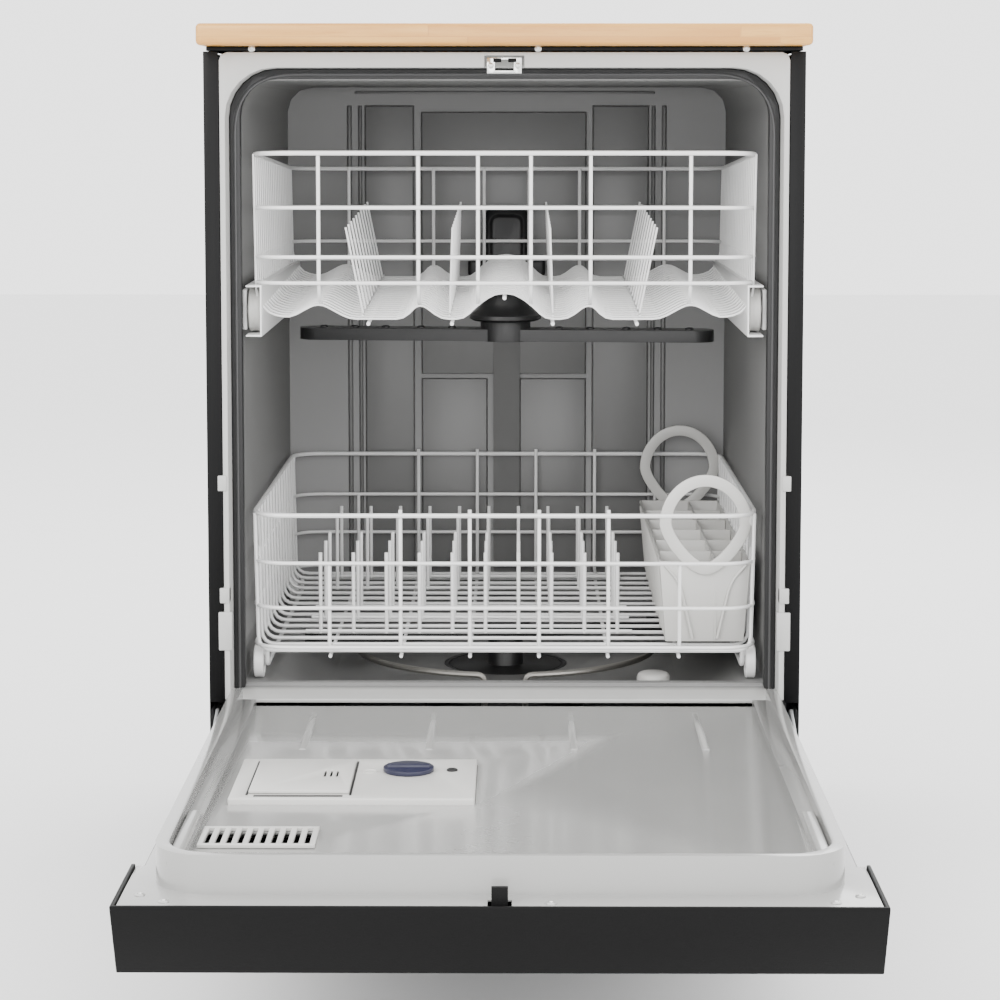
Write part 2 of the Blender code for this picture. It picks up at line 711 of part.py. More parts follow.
def console(door, finish):
    """The console across the top of the door: a shell with a slanted end and a lip at each side."""
    end, low = DOOR_END, DOOR_SKIN_Z
    outline = [(end, CONSOLE_LIP_Z), (end + 0.0005, 0.2200), (end + CONSOLE_SLANT, low),
               (CONSOLE_NEAR, low), (CONSOLE_NEAR, CONSOLE_LIP_Z)]
    shell = solid("door_console", prism(outline, "X", -CONSOLE_HALF, CONSOLE_HALF), door, finish)
    inner_half = CONSOLE_HALF - 0.0035
    wall = 0.0025
    hollow = [(end + wall + 0.0015, 0.230), (end + wall + 0.0015, 0.2190), (end + CONSOLE_SLANT + wall, low + wall),
              (CONSOLE_NEAR - wall, low + wall), (CONSOLE_NEAR - wall, 0.230)]
    over_wall = block((-inner_half, CONSOLE_NEAR - 0.005, 0.2198), (inner_half, CONSOLE_NEAR + 0.005, 0.230))
    cut(shell, prism(hollow, "X", -inner_half, inner_half), over_wall)
    for x in BUTTON_XS.values():
        cut(shell, block((x - 0.012, CONTROL_Y - 0.006, low - 0.01), (x + 0.012, CONTROL_Y + 0.006, low + 0.01)))
    cut(shell, cylinder("Z", (DIAL_X, DIAL_Y), 0.0048, low - 0.01, low + 0.01, 12))
    cut(shell, block((-PADDLE_HALF - 0.001, PADDLE_Y[0] - 0.001, low - 0.01),
                     (PADDLE_HALF + 0.001, PADDLE_Y[1] + 0.005, low + 0.01)))


def latch(door, black):
    """The latch lever: a paddle in the console's outer face, rocking a hook that stands out of the flange."""
    pivot = empty("latch_pivot", (0, *LATCH_PIVOT), door)
    low, high = DOOR_SKIN_Z + 0.0003, DOOR_SKIN_Z + 0.0045
    paddle = block((-PADDLE_HALF, PADDLE_Y[0], low), (PADDLE_HALF, PADDLE_Y[1], high))
    lever = solid("latch_lever", paddle, pivot, black)
    near, far, tip = LATCH_Y + 0.0035, LATCH_Y - 0.0015, 0.235
    foot = PADDLE_Y[0] + 0.0005
    hook = [(far, 0.2070), (far, tip), (near, tip), (near + 0.0015, 0.2315), (near, 0.2290), (near, 0.2060),
            (foot + 0.006, high - 0.001), (foot, high - 0.001)]
    fuse(lever, prism(hook, "X", -0.0065, 0.0065))


def controls(door, black, silver):
    """Two push buttons and a cycle dial on the console's outer face."""
    low = DOOR_SKIN_Z
    for name, x in BUTTON_XS.items():
        guide = empty(f"{name}_guide", (x, CONTROL_Y, low), door)
        lo = (x - 0.0114, CONTROL_Y - 0.0054, low - 0.0045)
        cap = block(lo, (x + 0.0114, CONTROL_Y + 0.0054, low + 0.008))
        bmesh.ops.bevel(cap, geom=cap.edges[:], offset=0.001, segments=1, affect="EDGES")
        solid(name, cap, guide, black)
    spindle = empty("cycle_dial_spindle", (DIAL_X, DIAL_Y, low), door)
    dial = cylinder("Z", (DIAL_X, DIAL_Y), DIAL_RADIUS, low - DIAL_HEIGHT, low - GAP, 28)
    outer = [e for e in dial.edges if all(v.co.z < low - DIAL_HEIGHT / 2 for v in e.verts)]
    bmesh.ops.bevel(dial, geom=outer, offset=0.002, segments=1, affect="EDGES")
    knob = solid("cycle_dial", dial, spindle, silver, smooth=40)
    fuse(knob, cylinder("Z", (DIAL_X, DIAL_Y), 0.0040, low - 0.002, low + 0.012, 12))


def dispenser(door, body_finish, cap_finish):
    """The dispenser body, its detergent cup's lid and the rinse-aid cap."""
    x, y, top = DISPENSER_X, DISPENSER_Y, DISPENSER_TOP
    body = solid("dispenser_body", block((x[0], y[0], 0.205), (x[1], y[1], top)), door, body_finish)
    cup = block((LID_X[0] + 0.004, LID_Y[0] + 0.004, 0.2130), (LID_X[1] - 0.004, LID_Y[1] - 0.004, top + 0.01))
    cut(body, cup, cylinder("Z", (RINSE_X, RINSE_Y), RINSE_RADIUS - 0.003, 0.2150, top + 0.01, 20))

    hinge = empty("detergent_lid_axis", (sum(LID_X) / 2, LID_Y[1], top + GAP + LID_THICK / 2), door)
    lid = block((LID_X[0], LID_Y[0], top + GAP), (LID_X[1], LID_Y[1], top + GAP + LID_THICK))
    made = solid("detergent_lid", lid, hinge, body_finish)
    for start in LID_SLOT_STARTS:
        cut(made, block((start, LID_SLOT_Y[0], 0.2), (start + 0.002, LID_SLOT_Y[1], 0.3)))

    turn = empty("rinse_cap_axis", (RINSE_X, RINSE_Y, top), door)
    centre = (RINSE_X, RINSE_Y)
    disc = cylinder("Z", centre, RINSE_RADIUS, top + GAP, top + 0.0040, 28)
    cap = solid("rinse_cap", disc, turn, cap_finish, smooth=40)
    grip = block((RINSE_X - 0.019, RINSE_Y - 0.004, top + 0.002), (RINSE_X + 0.019, RINSE_Y + 0.004, top + 0.0065))
    fuse(cap, grip, cylinder("Z", centre, RINSE_RADIUS - 0.004, 0.2250, top + 0.001, 20))


def vent_cover(door, finish):
    """A slotted cover over the door's vent."""
    low = LINER_FLOOR_Z + GAP
    slats = [-0.2465 + 0.0092 * k for k in range(11)]
    grille = lattice(
        slats,
        (-0.5625, -0.5095),
        0.0045,
        0.005,
        lambda x, y, side: (x, y, low if side == 0 else low + 0.003),
    )
    solid("vent_cover", grille, door, finish)


def hinge_arm(side, door, steel):
    """A flat arm on the door's side, with a round eye on the hinge pin and a tail for the spring."""
    pivot = (PIVOT_Y, PIVOT_Z)
    outline = arc(pivot, 0.0105, 60, 135, 3)
    outline += [(-0.060, 0.2080), (-0.150, 0.2080), (-0.150, 0.1720), (-0.060, 0.1720), (-0.016, 0.195)]
    outline += arc(pivot, 0.0105, 250, 290, 2)
    outline += [(0.036, 0.192), (0.040, 0.196), (0.036, 0.204)]
    name = f"{'right' if side > 0 else 'left'}_hinge_arm"
    arm = solid(name, prism(outline, "X", *sorted((side * 0.2927, side * 0.2957))), door, steel)
    xs = sorted((side * 0.280, side * 0.300))
    cut(arm, cylinder("X", pivot, 0.0050, *xs, 16), cylinder("X", (0.034, 0.198), 0.0020, *xs, 8))


def upper_rack(cabinet, wire, white, grey):
    """The upper rack: walls, wavy floor, four rows of tines, two rails and its feed pipe."""
    rack = empty("upper_rack", (0, 0, 0), cabinet)
    walls = rack_walls(UPPER_HALF, UPPER_FRONT, UPPER_BACK, UPPER_BAR_ZS, RACK_COLUMNS, 4, UPPER_BACK_SHARE)
    solid("upper_rack_walls", walls, rack, wire)

    knots = sorted([x for x, _ in WAVE] + [-x for x, _ in WAVE])
    heights = dict(WAVE + (WAVE_END,))

    def wave(x, y, side):
        known = sorted(heights)
        x_abs = min(abs(x), known[-1])
        below = max([k for k in known if k <= x_abs] or [known[0]])
        above = min(k for k in known if k >= x_abs) if x_abs >= known[0] else known[0]
        share = 0.0 if above == below else (x_abs - below) / (above - below)
        z = heights[below] + (heights[above] - heights[below]) * share
        return x, y, z + floor_rise(y) + (WIRE / 2 if side else -WIRE / 2)

    stretch = UPPER_BACK - UPPER_FRONT - 0.014
    floor_ys = [UPPER_FRONT + 0.007 + stretch * k / 8 for k in range(9)]
    edge = WAVE_END[0] - WIRE / 2
    bars = (-edge, -0.140, 0.140, edge)
    floor = lattice(bars, floor_ys, WIRE, WIRE, wave, u_knots=knots)
    solid("upper_rack_floor", floor, rack, wire)

    tine_ys = [0.070 + 0.044 * k for k in range(10)]
    combs = []
    for base_x, lean in UPPER_TINES:
        combs.append(tine_comb(base_x, lean, tine_ys, UPPER_TINE_LOW, UPPER_TINE_TOP, floor_rise))
    tines = solid("upper_rack_tines", merged(*combs), rack, wire)
    ends = (UPPER_TINES[0][0] - 0.008, UPPER_TINES[-1][0] + 0.008)
    for y in (tine_ys[1], tine_ys[-2]):
        low = 0.6550 + floor_rise(y)
        fuse(tines, block((ends[0], y - 0.0012, low), (ends[1], y + 0.0012, low + 0.003)))

    for side in SIDES:
        rail_outline = [(0.2490, 0.6065), (0.2655, 0.6065), (0.2655, 0.6085), (0.2508, 0.6085),
                        (0.2508, 0.6575), (0.2655, 0.6575), (0.2655, 0.6595), (0.2490, 0.6595)]
        rail_outline = [(side * x, z) for x, z in rail_outline]
        name = f"{'right' if side > 0 else 'left'}_upper_rail"
        solid(name, prism(rail_outline, "Y", 0.030, 0.520), rack, white)

    tube = cylinder("Y", (0, PIPE_Z), PIPE_RADIUS, 0.262, 0.5330, 16)
    pipe = solid("upper_feed_pipe", tube, rack, grey, smooth=40)
    fuse(pipe, cylinder("Z", (0, UPPER_ARM_Y), 0.018, 0.6050, 0.6385, 18))
    return rack


def floor_rise(y):
    """How much higher the upper rack's floor is here than at its front."""
    return UPPER_FLOOR_RISE * (y - UPPER_FRONT) / (UPPER_BACK - UPPER_FRONT)


def tine_comb(base_x, lean, ys, low, top, rise=lambda y: 0.0):
    """A row of upright tines on a base wire that runs along Y; the tops lean along X."""
    width = 0.0032

    def place(y, z, side):
        share = (z - low) / (top - low)
        return base_x + lean * share + (width / 2 if side else -width / 2), y, z + rise(y)

    return lattice(ys, (low + width / 2,), width, width, place, v_knots=(top,))


def spray_arm(name, spindle, centre, half_length, turn, z, hub_span, finish):
    """A spray arm: a long flat body with round ends and a round hub."""
    outline = capsule(centre, half_length, 0.021, turn)
    arm = prism(outline, "Z", z - 0.0065, z + 0.0065)
    made = solid(name, arm, spindle, finish, smooth=40)
    fuse(made, cylinder("Z", centre, 0.028, *hub_span, sides=24))
    return made


def lower_rack(cabinet, wire, light):
    """The lower rack: walls, floor with its wheel carriers, rows of tines and the cutlery basket."""
    rack = empty("lower_rack", (0, 0, 0), cabinet)
    walls = rack_walls(LOWER_HALF, LOWER_FRONT, LOWER_BACK, LOWER_BAR_ZS, LOWER_COLUMNS, 4, 1.0)
    solid("lower_rack_walls", walls, rack, wire)

    low, high = LOWER_FLOOR
    edge = LOWER_FLOOR_HALF - WIRE / 2
    first, last = LOWER_FRONT + 0.0065, LOWER_BACK - 0.0065
    floor_ys = [first + (last - first) * k / 9 for k in range(10)]
    bars = (-edge, -0.108, 0.108, edge)
    grid = lattice(bars, floor_ys, WIRE, WIRE, lambda x, y, side: (x, y, low if side == 0 else high))
    floor = solid("lower_rack_floor", grid, rack, wire)
    for side in SIDES:
        fuse(floor, side_block(side, (0.2472, 0.2523), (0.060, 0.536), (0.2545, 0.2735)))
        for y in WHEEL_YS.values():
            fuse(floor, cylinder("X", (y, WHEEL_Z), 0.004, *sorted((side * 0.250, side * 0.2640)), 12))

    combs = [tine_comb(x, 0.0, LOWER_TINE_YS, LOWER_TINE_LOW, LOWER_TINE_TOP) for x in LOWER_TINE_XS]
    tines = solid("lower_rack_tines", merged(*combs), rack, wire)
    ends = (LOWER_TINE_XS[0] - 0.004, LOWER_TINE_XS[-1] + 0.004)
    for y in (0.186, 0.352):
        fuse(tines, block((ends[0], y - 0.0012, 0.2772), (ends[1], y + 0.0012, 0.2796)))

    cutlery_basket(rack, light)
    return rack


def cutlery_basket(rack, finish):
    """The cutlery basket: two files of cells on a floor, with a ring handle at each end."""
    (x0, x1), (y0, y1), (z0, z1) = BASKET_X, BASKET_Y, BASKET_Z
    wall = 0.0025
    u_bars = (x0 + wall / 2, BASKET_SPLIT_X, x1 - wall / 2)
    v_bars = [y0 + wall / 2 + (y1 - y0 - wall) * k / BASKET_ROWS for k in range(BASKET_ROWS + 1)]
    cells = lattice(u_bars, v_bars, wall, wall, lambda x, y, side: (x, y, z0 if side == 0 else z1))
    basket = solid("cutlery_basket", cells, rack, finish)
    inset = 0.0005
    fuse(basket, block((x0 + inset, y0 + inset, z0 - 0.0002), (x1 - inset, y1 - inset, z0 + 0.0025)))
    middle = (x0 + x1) / 2
    half = (x1 - x0) / 2
    for y in (y0, y1 - 0.0035):
        lug = prism(rounded_lug(middle, half, z1 - 0.010, HANDLE_TOP, 0.040), "Y", y, y + 0.0035)
        fuse(basket, lug)
        hole = rounded_lug(middle, half - 0.013, z1 + 0.004, HANDLE_TOP - 0.013, 0.030)
        cut(basket, prism(hole, "Y", y - 0.01, y + 0.0135))


def rounded_lug(middle, half, low, high, radius):
    """An outline in XZ with round upper corners, centred on X."""
    return [(middle + x, z) for x, z in rounded_top(half, low, high, radius, 5)]


def rack_wheels(rack, white):
    """Four wheels under the lower rack."""
    for end, y in WHEEL_YS.items():
        for side in SIDES:
            name = f"rack_wheel_{end}_{'right' if side > 0 else 'left'}"
            axle = empty(f"{name}_axle", (side * sum(WHEEL_X) / 2, y, WHEEL_Z), rack)
            xs = sorted(side * x for x in WHEEL_X)
            made = solid(name, cylinder("X", (y, WHEEL_Z), WHEEL_RADIUS, *xs), axle, white, smooth=40)
            cut(made, cylinder("X", (y, WHEEL_Z), 0.0045, xs[0] - 0.01, xs[1] + 0.01, 12))


def build():
    """Put the whole dishwasher together."""
    clear_scene()
    laminate = material("maple_laminate", (0.79, 0.56, 0.32), 0.45)
    black = material("black_enamel", (0.022, 0.022, 0.024), 0.35)
    black_plastic = material("black_plastic", (0.020, 0.020, 0.021), 0.45)
    rubber = material("black_rubber", (0.03, 0.03, 0.03), 0.7)
    light_plastic = material("light_grey_plastic", (0.66, 0.65, 0.63), 0.4)
    tub_plastic = material("grey_tub_plastic", (0.33, 0.33, 0.34), 0.45)
    dark_plastic = material("dark_grey_plastic", (0.07, 0.07, 0.07), 0.5)
    nylon = material("white_nylon_wire", (0.86, 0.86, 0.85), 0.35)
    blue = material("blue_cap_plastic", (0.10, 0.12, 0.35), 0.4)
    steel = material("bright_steel", (0.6, 0.6, 0.62), 0.3, 1.0)
    iron = material("cast_counterweight", (0.12, 0.12, 0.12), 0.8)

    cabinet = empty("cabinet", (0, 0, 0))
    cabinet.location = (0, CABINET_SETBACK, 0)
    door = empty("door", (0, PIVOT_Y, PIVOT_Z), cabinet)

    worktop(cabinet, laminate, black)
    for side in SIDES:
        side_panel(side, cabinet, black)
    rear_panel(cabinet, black)
    base_frame(cabinet, steel)
    castors(cabinet, rubber)
    base_parts(cabinet, black, iron, dark_plastic, steel)
    tub(cabinet, tub_plastic)
    tub_fittings(cabinet, rubber, steel, dark_plastic, nylon)
    rollers(cabinet, light_plastic)
    float_dome(cabinet, light_plastic)

    door_outer_panel(door, black)
    door_liner(door, light_plastic)
    console(door, black_plastic)
    latch(door, black_plastic)
    controls(door, black_plastic, steel)
    dispenser(door, light_plastic, blue)
    vent_cover(door, light_plastic)
    for side in SIDES:
        hinge_arm(side, door, steel)

    rack = upper_rack(cabinet, nylon, nylon, dark_plastic)
    upper_spindle = empty("upper_arm_spindle", (0, UPPER_ARM_Y, UPPER_ARM_Z), rack)
    spray_arm(
        "upper_spray_arm", upper_spindle, (0, UPPER_ARM_Y), 0.232, -5, UPPER_ARM_Z, (0.583, 0.6047), dark_plastic
    )
    lower = lower_rack(cabinet, nylon, light_plastic)
    rack_wheels(lower, light_plastic)
    lower_spindle = empty("lower_arm_spindle", (0, ARM_CENTRE_Y, LOWER_ARM_Z), cabinet)
    spray_arm(
        "lower_spray_arm", lower_spindle, (0, ARM_CENTRE_Y), 0.230, 12, LOWER_ARM_Z, (0.2446, 0.2620), dark_plastic
    )


build()
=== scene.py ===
import math

import bpy
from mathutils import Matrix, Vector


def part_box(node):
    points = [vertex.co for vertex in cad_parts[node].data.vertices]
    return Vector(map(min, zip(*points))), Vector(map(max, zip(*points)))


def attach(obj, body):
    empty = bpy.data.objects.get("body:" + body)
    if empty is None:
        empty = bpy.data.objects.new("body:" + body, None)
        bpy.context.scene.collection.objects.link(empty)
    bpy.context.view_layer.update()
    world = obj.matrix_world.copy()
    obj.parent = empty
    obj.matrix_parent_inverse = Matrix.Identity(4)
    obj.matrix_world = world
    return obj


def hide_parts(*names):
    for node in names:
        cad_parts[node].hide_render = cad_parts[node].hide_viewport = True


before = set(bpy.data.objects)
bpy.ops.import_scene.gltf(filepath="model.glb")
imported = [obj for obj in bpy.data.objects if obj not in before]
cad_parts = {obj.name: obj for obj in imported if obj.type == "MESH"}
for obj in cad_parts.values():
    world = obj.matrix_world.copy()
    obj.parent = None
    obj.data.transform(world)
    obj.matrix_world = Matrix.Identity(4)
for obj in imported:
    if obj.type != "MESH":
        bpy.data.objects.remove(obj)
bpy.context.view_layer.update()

# ---------------------------------------------------------------- showroom floor, camera and lamps
# A plain pale floor under soft lamps. Nothing here belongs to the machine. The finishes are drawn as sums on
# sockets, so the small class that does this comes with the first finish, the floor's.


class Socket:
    """One output of a node, which reads as a number in an expression."""

    def __init__(self, socket):
        self.socket = socket
        self.tree = socket.id_data

    def node(self, kind, settings=None, values=None, out=0):
        """Any node: its settings first, then the numbers or links of its sockets."""
        node = self.tree.nodes.new("ShaderNode" + kind)
        for key, value in (settings or {}).items():
            setattr(node, key, value)
        for key, value in (values or {}).items():
            if isinstance(value, Socket):
                self.tree.links.new(value.socket, node.inputs[key])
            else:
                node.inputs[key].default_value = value
        return Socket(node.outputs[out])

    def math(self, operation, *others):
        return self.node("Math", {"operation": operation}, dict(enumerate((self, *others))))

    def __add__(self, other):
        return self.math("ADD", other)

    def __sub__(self, other):
        return self.math("SUBTRACT", other)

    def __mul__(self, other):
        return self.math("MULTIPLY", other)

    def __truediv__(self, other):
        return self.math("DIVIDE", other)

    def __gt__(self, other):
        return self.math("GREATER_THAN", other)

    def __lt__(self, other):
        return self.math("LESS_THAN", other)

    def __rsub__(self, other):
        return self.node("Math", {"operation": "SUBTRACT"}, {0: other, 1: self})

    __radd__ = __add__
    __rmul__ = __mul__


def mix(share, first, second):
    """The first colour going over to the second."""
    colours = [c if isinstance(c, Socket) else (*c, 1) for c in (first, second)]
    return share.node("Mix", {"data_type": "RGBA"}, {0: share, 6: colours[0], 7: colours[1]}, 2)


def noise(place, scale, stretch=(1, 1, 1), detail=2.0):
    """Noise of that many waves to the metre, squeezed along each axis by stretch."""
    spread = place.node("Mapping", None, {"Vector": place, "Scale": stretch})
    return spread.node("TexNoise", None, {"Vector": spread, "Scale": scale, "Detail": detail})


def bumped(height, depth):
    """A surface whose relief follows the height, that deep in metres."""
    return height.node("Bump", None, {"Height": height, "Distance": depth, "Strength": 1.0})


def finish(name, paint, **steady):
    """A material. Steady values sit on the shader; paint gives what varies, from the object's coordinates."""
    material = bpy.data.materials.new(name)
    material.use_nodes = True
    tree = material.node_tree
    shader = tree.nodes["Principled BSDF"]
    for key, value in steady.items():
        shader.inputs[key.replace("_", " ")].default_value = value
    place = Socket(tree.nodes.new("ShaderNodeTexCoord").outputs["Object"])
    for key, value in paint(place).items():
        tree.links.new(value.socket, shader.inputs[key])
    return material


def moulded(name, colour, roughness, grain=900, depth=0.00004, drift=0.06, **steady):
    """Moulded or coated: slow clouds in the colour, fine grain in the surface, marks in the gloss."""
    dark = [c * (1 - drift) for c in colour]
    light = [min(1, c * (1 + drift)) for c in colour]

    def paint(place):
        cloud = noise(place, 7, detail=3)
        speck = noise(place, grain, detail=2)
        rub = noise(place, 26, (1, 1, 3), detail=4)
        return {
            "Base Color": mix(cloud, dark, light),
            "Roughness": (rub - 0.5) * 0.07 + roughness,
            "Normal": bumped(speck, depth),
        }

    return finish(name, paint, **steady)


FLOOR_SIZE = 16
FLOOR_PLACE = (0, 2, 0)
floor_white = moulded("floor_white", (0.86, 0.86, 0.86), 0.7, 40, 0.0001, 0.01)
bpy.ops.object.select_all(action="DESELECT")
bpy.ops.mesh.primitive_plane_add(size=FLOOR_SIZE, location=FLOOR_PLACE)
floor = bpy.context.object
bpy.ops.object.transform_apply()
floor.name = "floor"
floor.data.materials.append(floor_white)

CAMERA_PLACE = (0.0141, -2.6641, 0.829)
CAMERA_PITCH = 5.576
CAMERA_YAW = 0.391
CAMERA_LENS = 96.2
CAMERA_SHIFT = -0.12
bpy.ops.object.camera_add(
    location=CAMERA_PLACE, rotation=(math.radians(90 - CAMERA_PITCH), 0, math.radians(CAMERA_YAW))
)
camera = bpy.context.object
camera.data.lens = CAMERA_LENS
camera.data.sensor_width = 36
camera.data.shift_y = CAMERA_SHIFT
bpy.context.scene.camera = camera

# each lamp's place, width, power and colour; all point at the middle of the machine
AIM_HEIGHT = 0.45
ROOM_LIGHT = 2.7
LAMPS = {
    "key": ((-1.9, -2.6, 2.3), 1.8, 75, (1.0, 0.985, 0.96)),
    "fill": ((2.1, -2.4, 1.5), 2.0, 40, (1.0, 0.99, 0.98)),
    "front": ((0.0, -3.4, 1.4), 1.6, 30, (1.0, 1.0, 1.0)),
    "back": ((0.6, 2.6, 2.6), 2.0, 60, (1.0, 1.0, 1.0)),
}
for name, (place, size, power, colour) in LAMPS.items():
    reach = (-place[0], -place[1], AIM_HEIGHT - place[2])
    flat = math.hypot(reach[0], reach[1])
    turn = (math.atan2(flat, -reach[2]), 0, math.atan2(reach[1], reach[0]) - math.pi / 2)
    bpy.ops.object.light_add(type="AREA", location=place, rotation=turn)
    lamp = bpy.context.object
    lamp.name = "lamp_" + name
    lamp.data.size = size
    lamp.data.energy = power
    lamp.data.color = colour
world = bpy.data.worlds.new("white_room")
world.use_nodes = True
background = world.node_tree.nodes["Background"]
background.inputs["Color"].default_value = (1, 1, 1, 1)
background.inputs["Strength"].default_value = ROOM_LIGHT
bpy.context.scene.world = world

# ---------------------------------------------------------------- worktop
# A chipboard slab wrapped in maple butcher-block laminate, its edges rounded over. The laminate is printed as
# staves that run from side to side. It rests on the worktop frame and is screwed up from below.


def apart(piece, name):
    """Gives the piece and its mesh their own name."""
    piece.name = piece.data.name = name
    return piece


def block(name, low, high):
    """A box between two corners."""
    bpy.ops.object.select_all(action="DESELECT")
    middle = [(a + b) / 2 for a, b in zip(low, high)]
    bpy.ops.mesh.primitive_cube_add(size=1, location=middle, scale=[b - a for a, b in zip(low, high)])
    bpy.ops.object.transform_apply()
    return apart(bpy.context.object, name)


def edit(piece, kind, test):
    """Opens the piece for editing with the faces or edges that pass the test selected."""
    if bpy.context.mode != "OBJECT":
        bpy.ops.object.mode_set(mode="OBJECT")
    bpy.ops.object.select_all(action="DESELECT")
    piece.select_set(True)
    bpy.context.view_layer.objects.active = piece
    mesh = piece.data
    for items in (mesh.vertices, mesh.edges, mesh.polygons):
        items.foreach_set("select", [False] * len(items))
    for item in mesh.polygons if kind == "FACE" else mesh.edges:
        item.select = bool(test(item))
    bpy.context.tool_settings.mesh_select_mode = (False, kind == "EDGE", kind == "FACE")
    bpy.ops.object.mode_set(mode="EDIT")


def close(piece):
    """Ends the editing."""
    bpy.ops.object.mode_set(mode="OBJECT")
    return piece


def rounded(piece, width, segments=2, angle=30):
    """Every sharp edge rounded over."""
    bpy.ops.object.select_all(action="DESELECT")
    piece.select_set(True)
    bpy.context.view_layer.objects.active = piece
    bevel = piece.modifiers.new("edges", "BEVEL")
    bevel.width = width
    bevel.segments = segments
    bevel.limit_method = "ANGLE"
    bevel.angle_limit = math.radians(angle)
    bevel.use_clamp_overlap = True
    bpy.ops.object.modifier_apply(modifier=bevel.name)
    return piece


def fit(piece, body, slot, material, *nodes, angle=35):
    """Shades the piece, gives it its finish and fixes it to its body, in place of those CAD nodes."""
    bpy.ops.object.select_all(action="DESELECT")
    piece.select_set(True)
    bpy.context.view_layer.objects.active = piece
    bpy.ops.object.shade_smooth_by_angle(angle=math.radians(angle))
    piece.data.materials.clear()
    piece.data.materials.append(material)
    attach(piece, body)
    if nodes:
        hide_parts(*nodes)
    return piece


STAVE = 0.0425
STAVE_LENGTH = 0.31
PALE, HONEY, AMBER = (0.60, 0.315, 0.075), (0.47, 0.205, 0.036), (0.36, 0.12, 0.014)
JOINT_BROWN = (0.36, 0.16, 0.05)
JOINT_ACROSS, JOINT_ALONG = 0.022, 0.004
SLAB_ROUND = 0.0045


def paint_maple(place):
    """Staves in rows, each with its own tint and grain, with thin joints, wrapped over the edges."""
    at = [place.node("SeparateXYZ", None, {0: place}, axis) for axis in range(3)]
    facing = place.node("NewGeometry", None, None, 1)
    facing = [facing.node("SeparateXYZ", None, {0: facing}, axis) for axis in range(3)]
    side = facing[0].math("ABSOLUTE") > 0.7
    top = facing[2].math("ABSOLUTE") > 0.5
    along = at[0] * (1 - side) + at[1] * side + 3
    across = (at[1] * top + at[2] * (1 - top)) + 3
    row = (across / STAVE).math("FLOOR")
    shift = row.node("TexWhiteNoise", {"noise_dimensions": "1D"}, {"W": row}, 0)
    length = (along + shift * 0.9) / STAVE_LENGTH
    stave = length.math("FLOOR") * 7.31 + row * 3.17
    tint = stave.node("TexWhiteNoise", {"noise_dimensions": "1D"}, {"W": stave}, 0)
    lay = along.node("CombineXYZ", None, {0: along * 3.0, 1: across * 42.0, 2: tint * 20.0})
    grain = lay.node("TexNoise", None, {"Vector": lay, "Scale": 2.4, "Detail": 6.0, "Distortion": 0.5})
    fleck = lay.node("TexNoise", None, {"Vector": lay, "Scale": 11.0, "Detail": 3.0})
    blush = noise(place, 5.5, (1, 1, 2), 3)
    colour = mix(((grain - 0.42) * 2.2).math("MINIMUM", 1).math("MAXIMUM", 0), PALE, HONEY)
    colour = mix(((tint * 0.9 + blush * 0.6) - 0.75).math("MAXIMUM", 0) * 0.9, colour, AMBER)
    colour = mix((fleck > 0.62) * 0.18, colour, AMBER)
    ends = length.math("FRACT") < JOINT_ALONG
    joint = ((across / STAVE).math("FRACT") < JOINT_ACROSS).math("MAXIMUM", ends)
    colour = mix(joint * 0.35, colour, JOINT_BROWN)
    return {
        "Base Color": colour,
        "Roughness": (grain - 0.5) * 0.12 + 0.36,
        "Normal": bumped(fleck - joint * 0.8, 0.00006),
    }


maple = finish("maple_laminate", paint_maple, Coat_Weight=0.15, Coat_Roughness=0.25)
worktop = block("worktop_slab", *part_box("worktop"))
edit(worktop, "EDGE", lambda edge: True)
bpy.ops.mesh.bevel(offset=SLAB_ROUND, segments=4, profile=0.5)
close(worktop)
fit(worktop, "cabinet", "maple_laminate", maple, "worktop", angle=40)

# ---------------------------------------------------------------- worktop frame
# A black steel ring under the slab, held by round-headed screws that show along its front edge.


def copied(node, name, bevel=0.0, segments=2):
    """The solid model's own mesh, welded, with its sharp edges rounded over."""
    bpy.ops.object.select_all(action="DESELECT")
    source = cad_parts[node]
    piece = bpy.data.objects.new(name, source.data.copy())
    bpy.context.scene.collection.objects.link(piece)
    apart(piece, name)
    piece.select_set(True)
    bpy.context.view_layer.objects.active = piece
    bpy.ops.object.mode_set(mode="EDIT")
    bpy.ops.mesh.select_all(action="SELECT")
    bpy.ops.mesh.remove_doubles(threshold=0.00001)
    bpy.ops.mesh.dissolve_limited(angle_limit=math.radians(0.5))
    bpy.ops.object.mode_set(mode="OBJECT")
    if bevel:
        rounded(piece, bevel, segments)
    return piece


def turned(name, centre, profile, turn=(0, 0, 0), sides=32):
    """A round piece drawn up from a disc. The profile gives height and radius, from first face to last."""
    bpy.ops.object.select_all(action="DESELECT")
    bpy.ops.mesh.primitive_circle_add(
        vertices=sides, radius=profile[0][1], fill_type="NGON", location=(0, 0, profile[0][0])
    )
    bpy.ops.object.transform_apply()
    piece = bpy.context.object
    bpy.ops.object.mode_set(mode="EDIT")
    bpy.ops.mesh.select_all(action="SELECT")
    for (z0, r0), (z1, r1) in zip(profile, profile[1:]):
        bpy.ops.mesh.extrude_region_move(TRANSFORM_OT_translate={"value": (0, 0, z1 - z0)})
        bpy.ops.transform.resize(value=(r1 / r0, r1 / r0, 1), center_override=(0, 0, z1))
    bpy.ops.mesh.select_all(action="SELECT")
    bpy.ops.mesh.normals_make_consistent(inside=False)
    bpy.ops.object.mode_set(mode="OBJECT")
    piece.rotation_euler = [math.radians(angle) for angle in turn]
    piece.location = centre
    bpy.ops.object.transform_apply()
    return apart(piece, name)


def joined(name, pieces):
    """Several shapes as one piece."""
    bpy.ops.object.select_all(action="DESELECT")
    for piece in pieces:
        piece.select_set(True)
    bpy.context.view_layer.objects.active = pieces[0]
    bpy.ops.object.join()
    return apart(pieces[0], name)


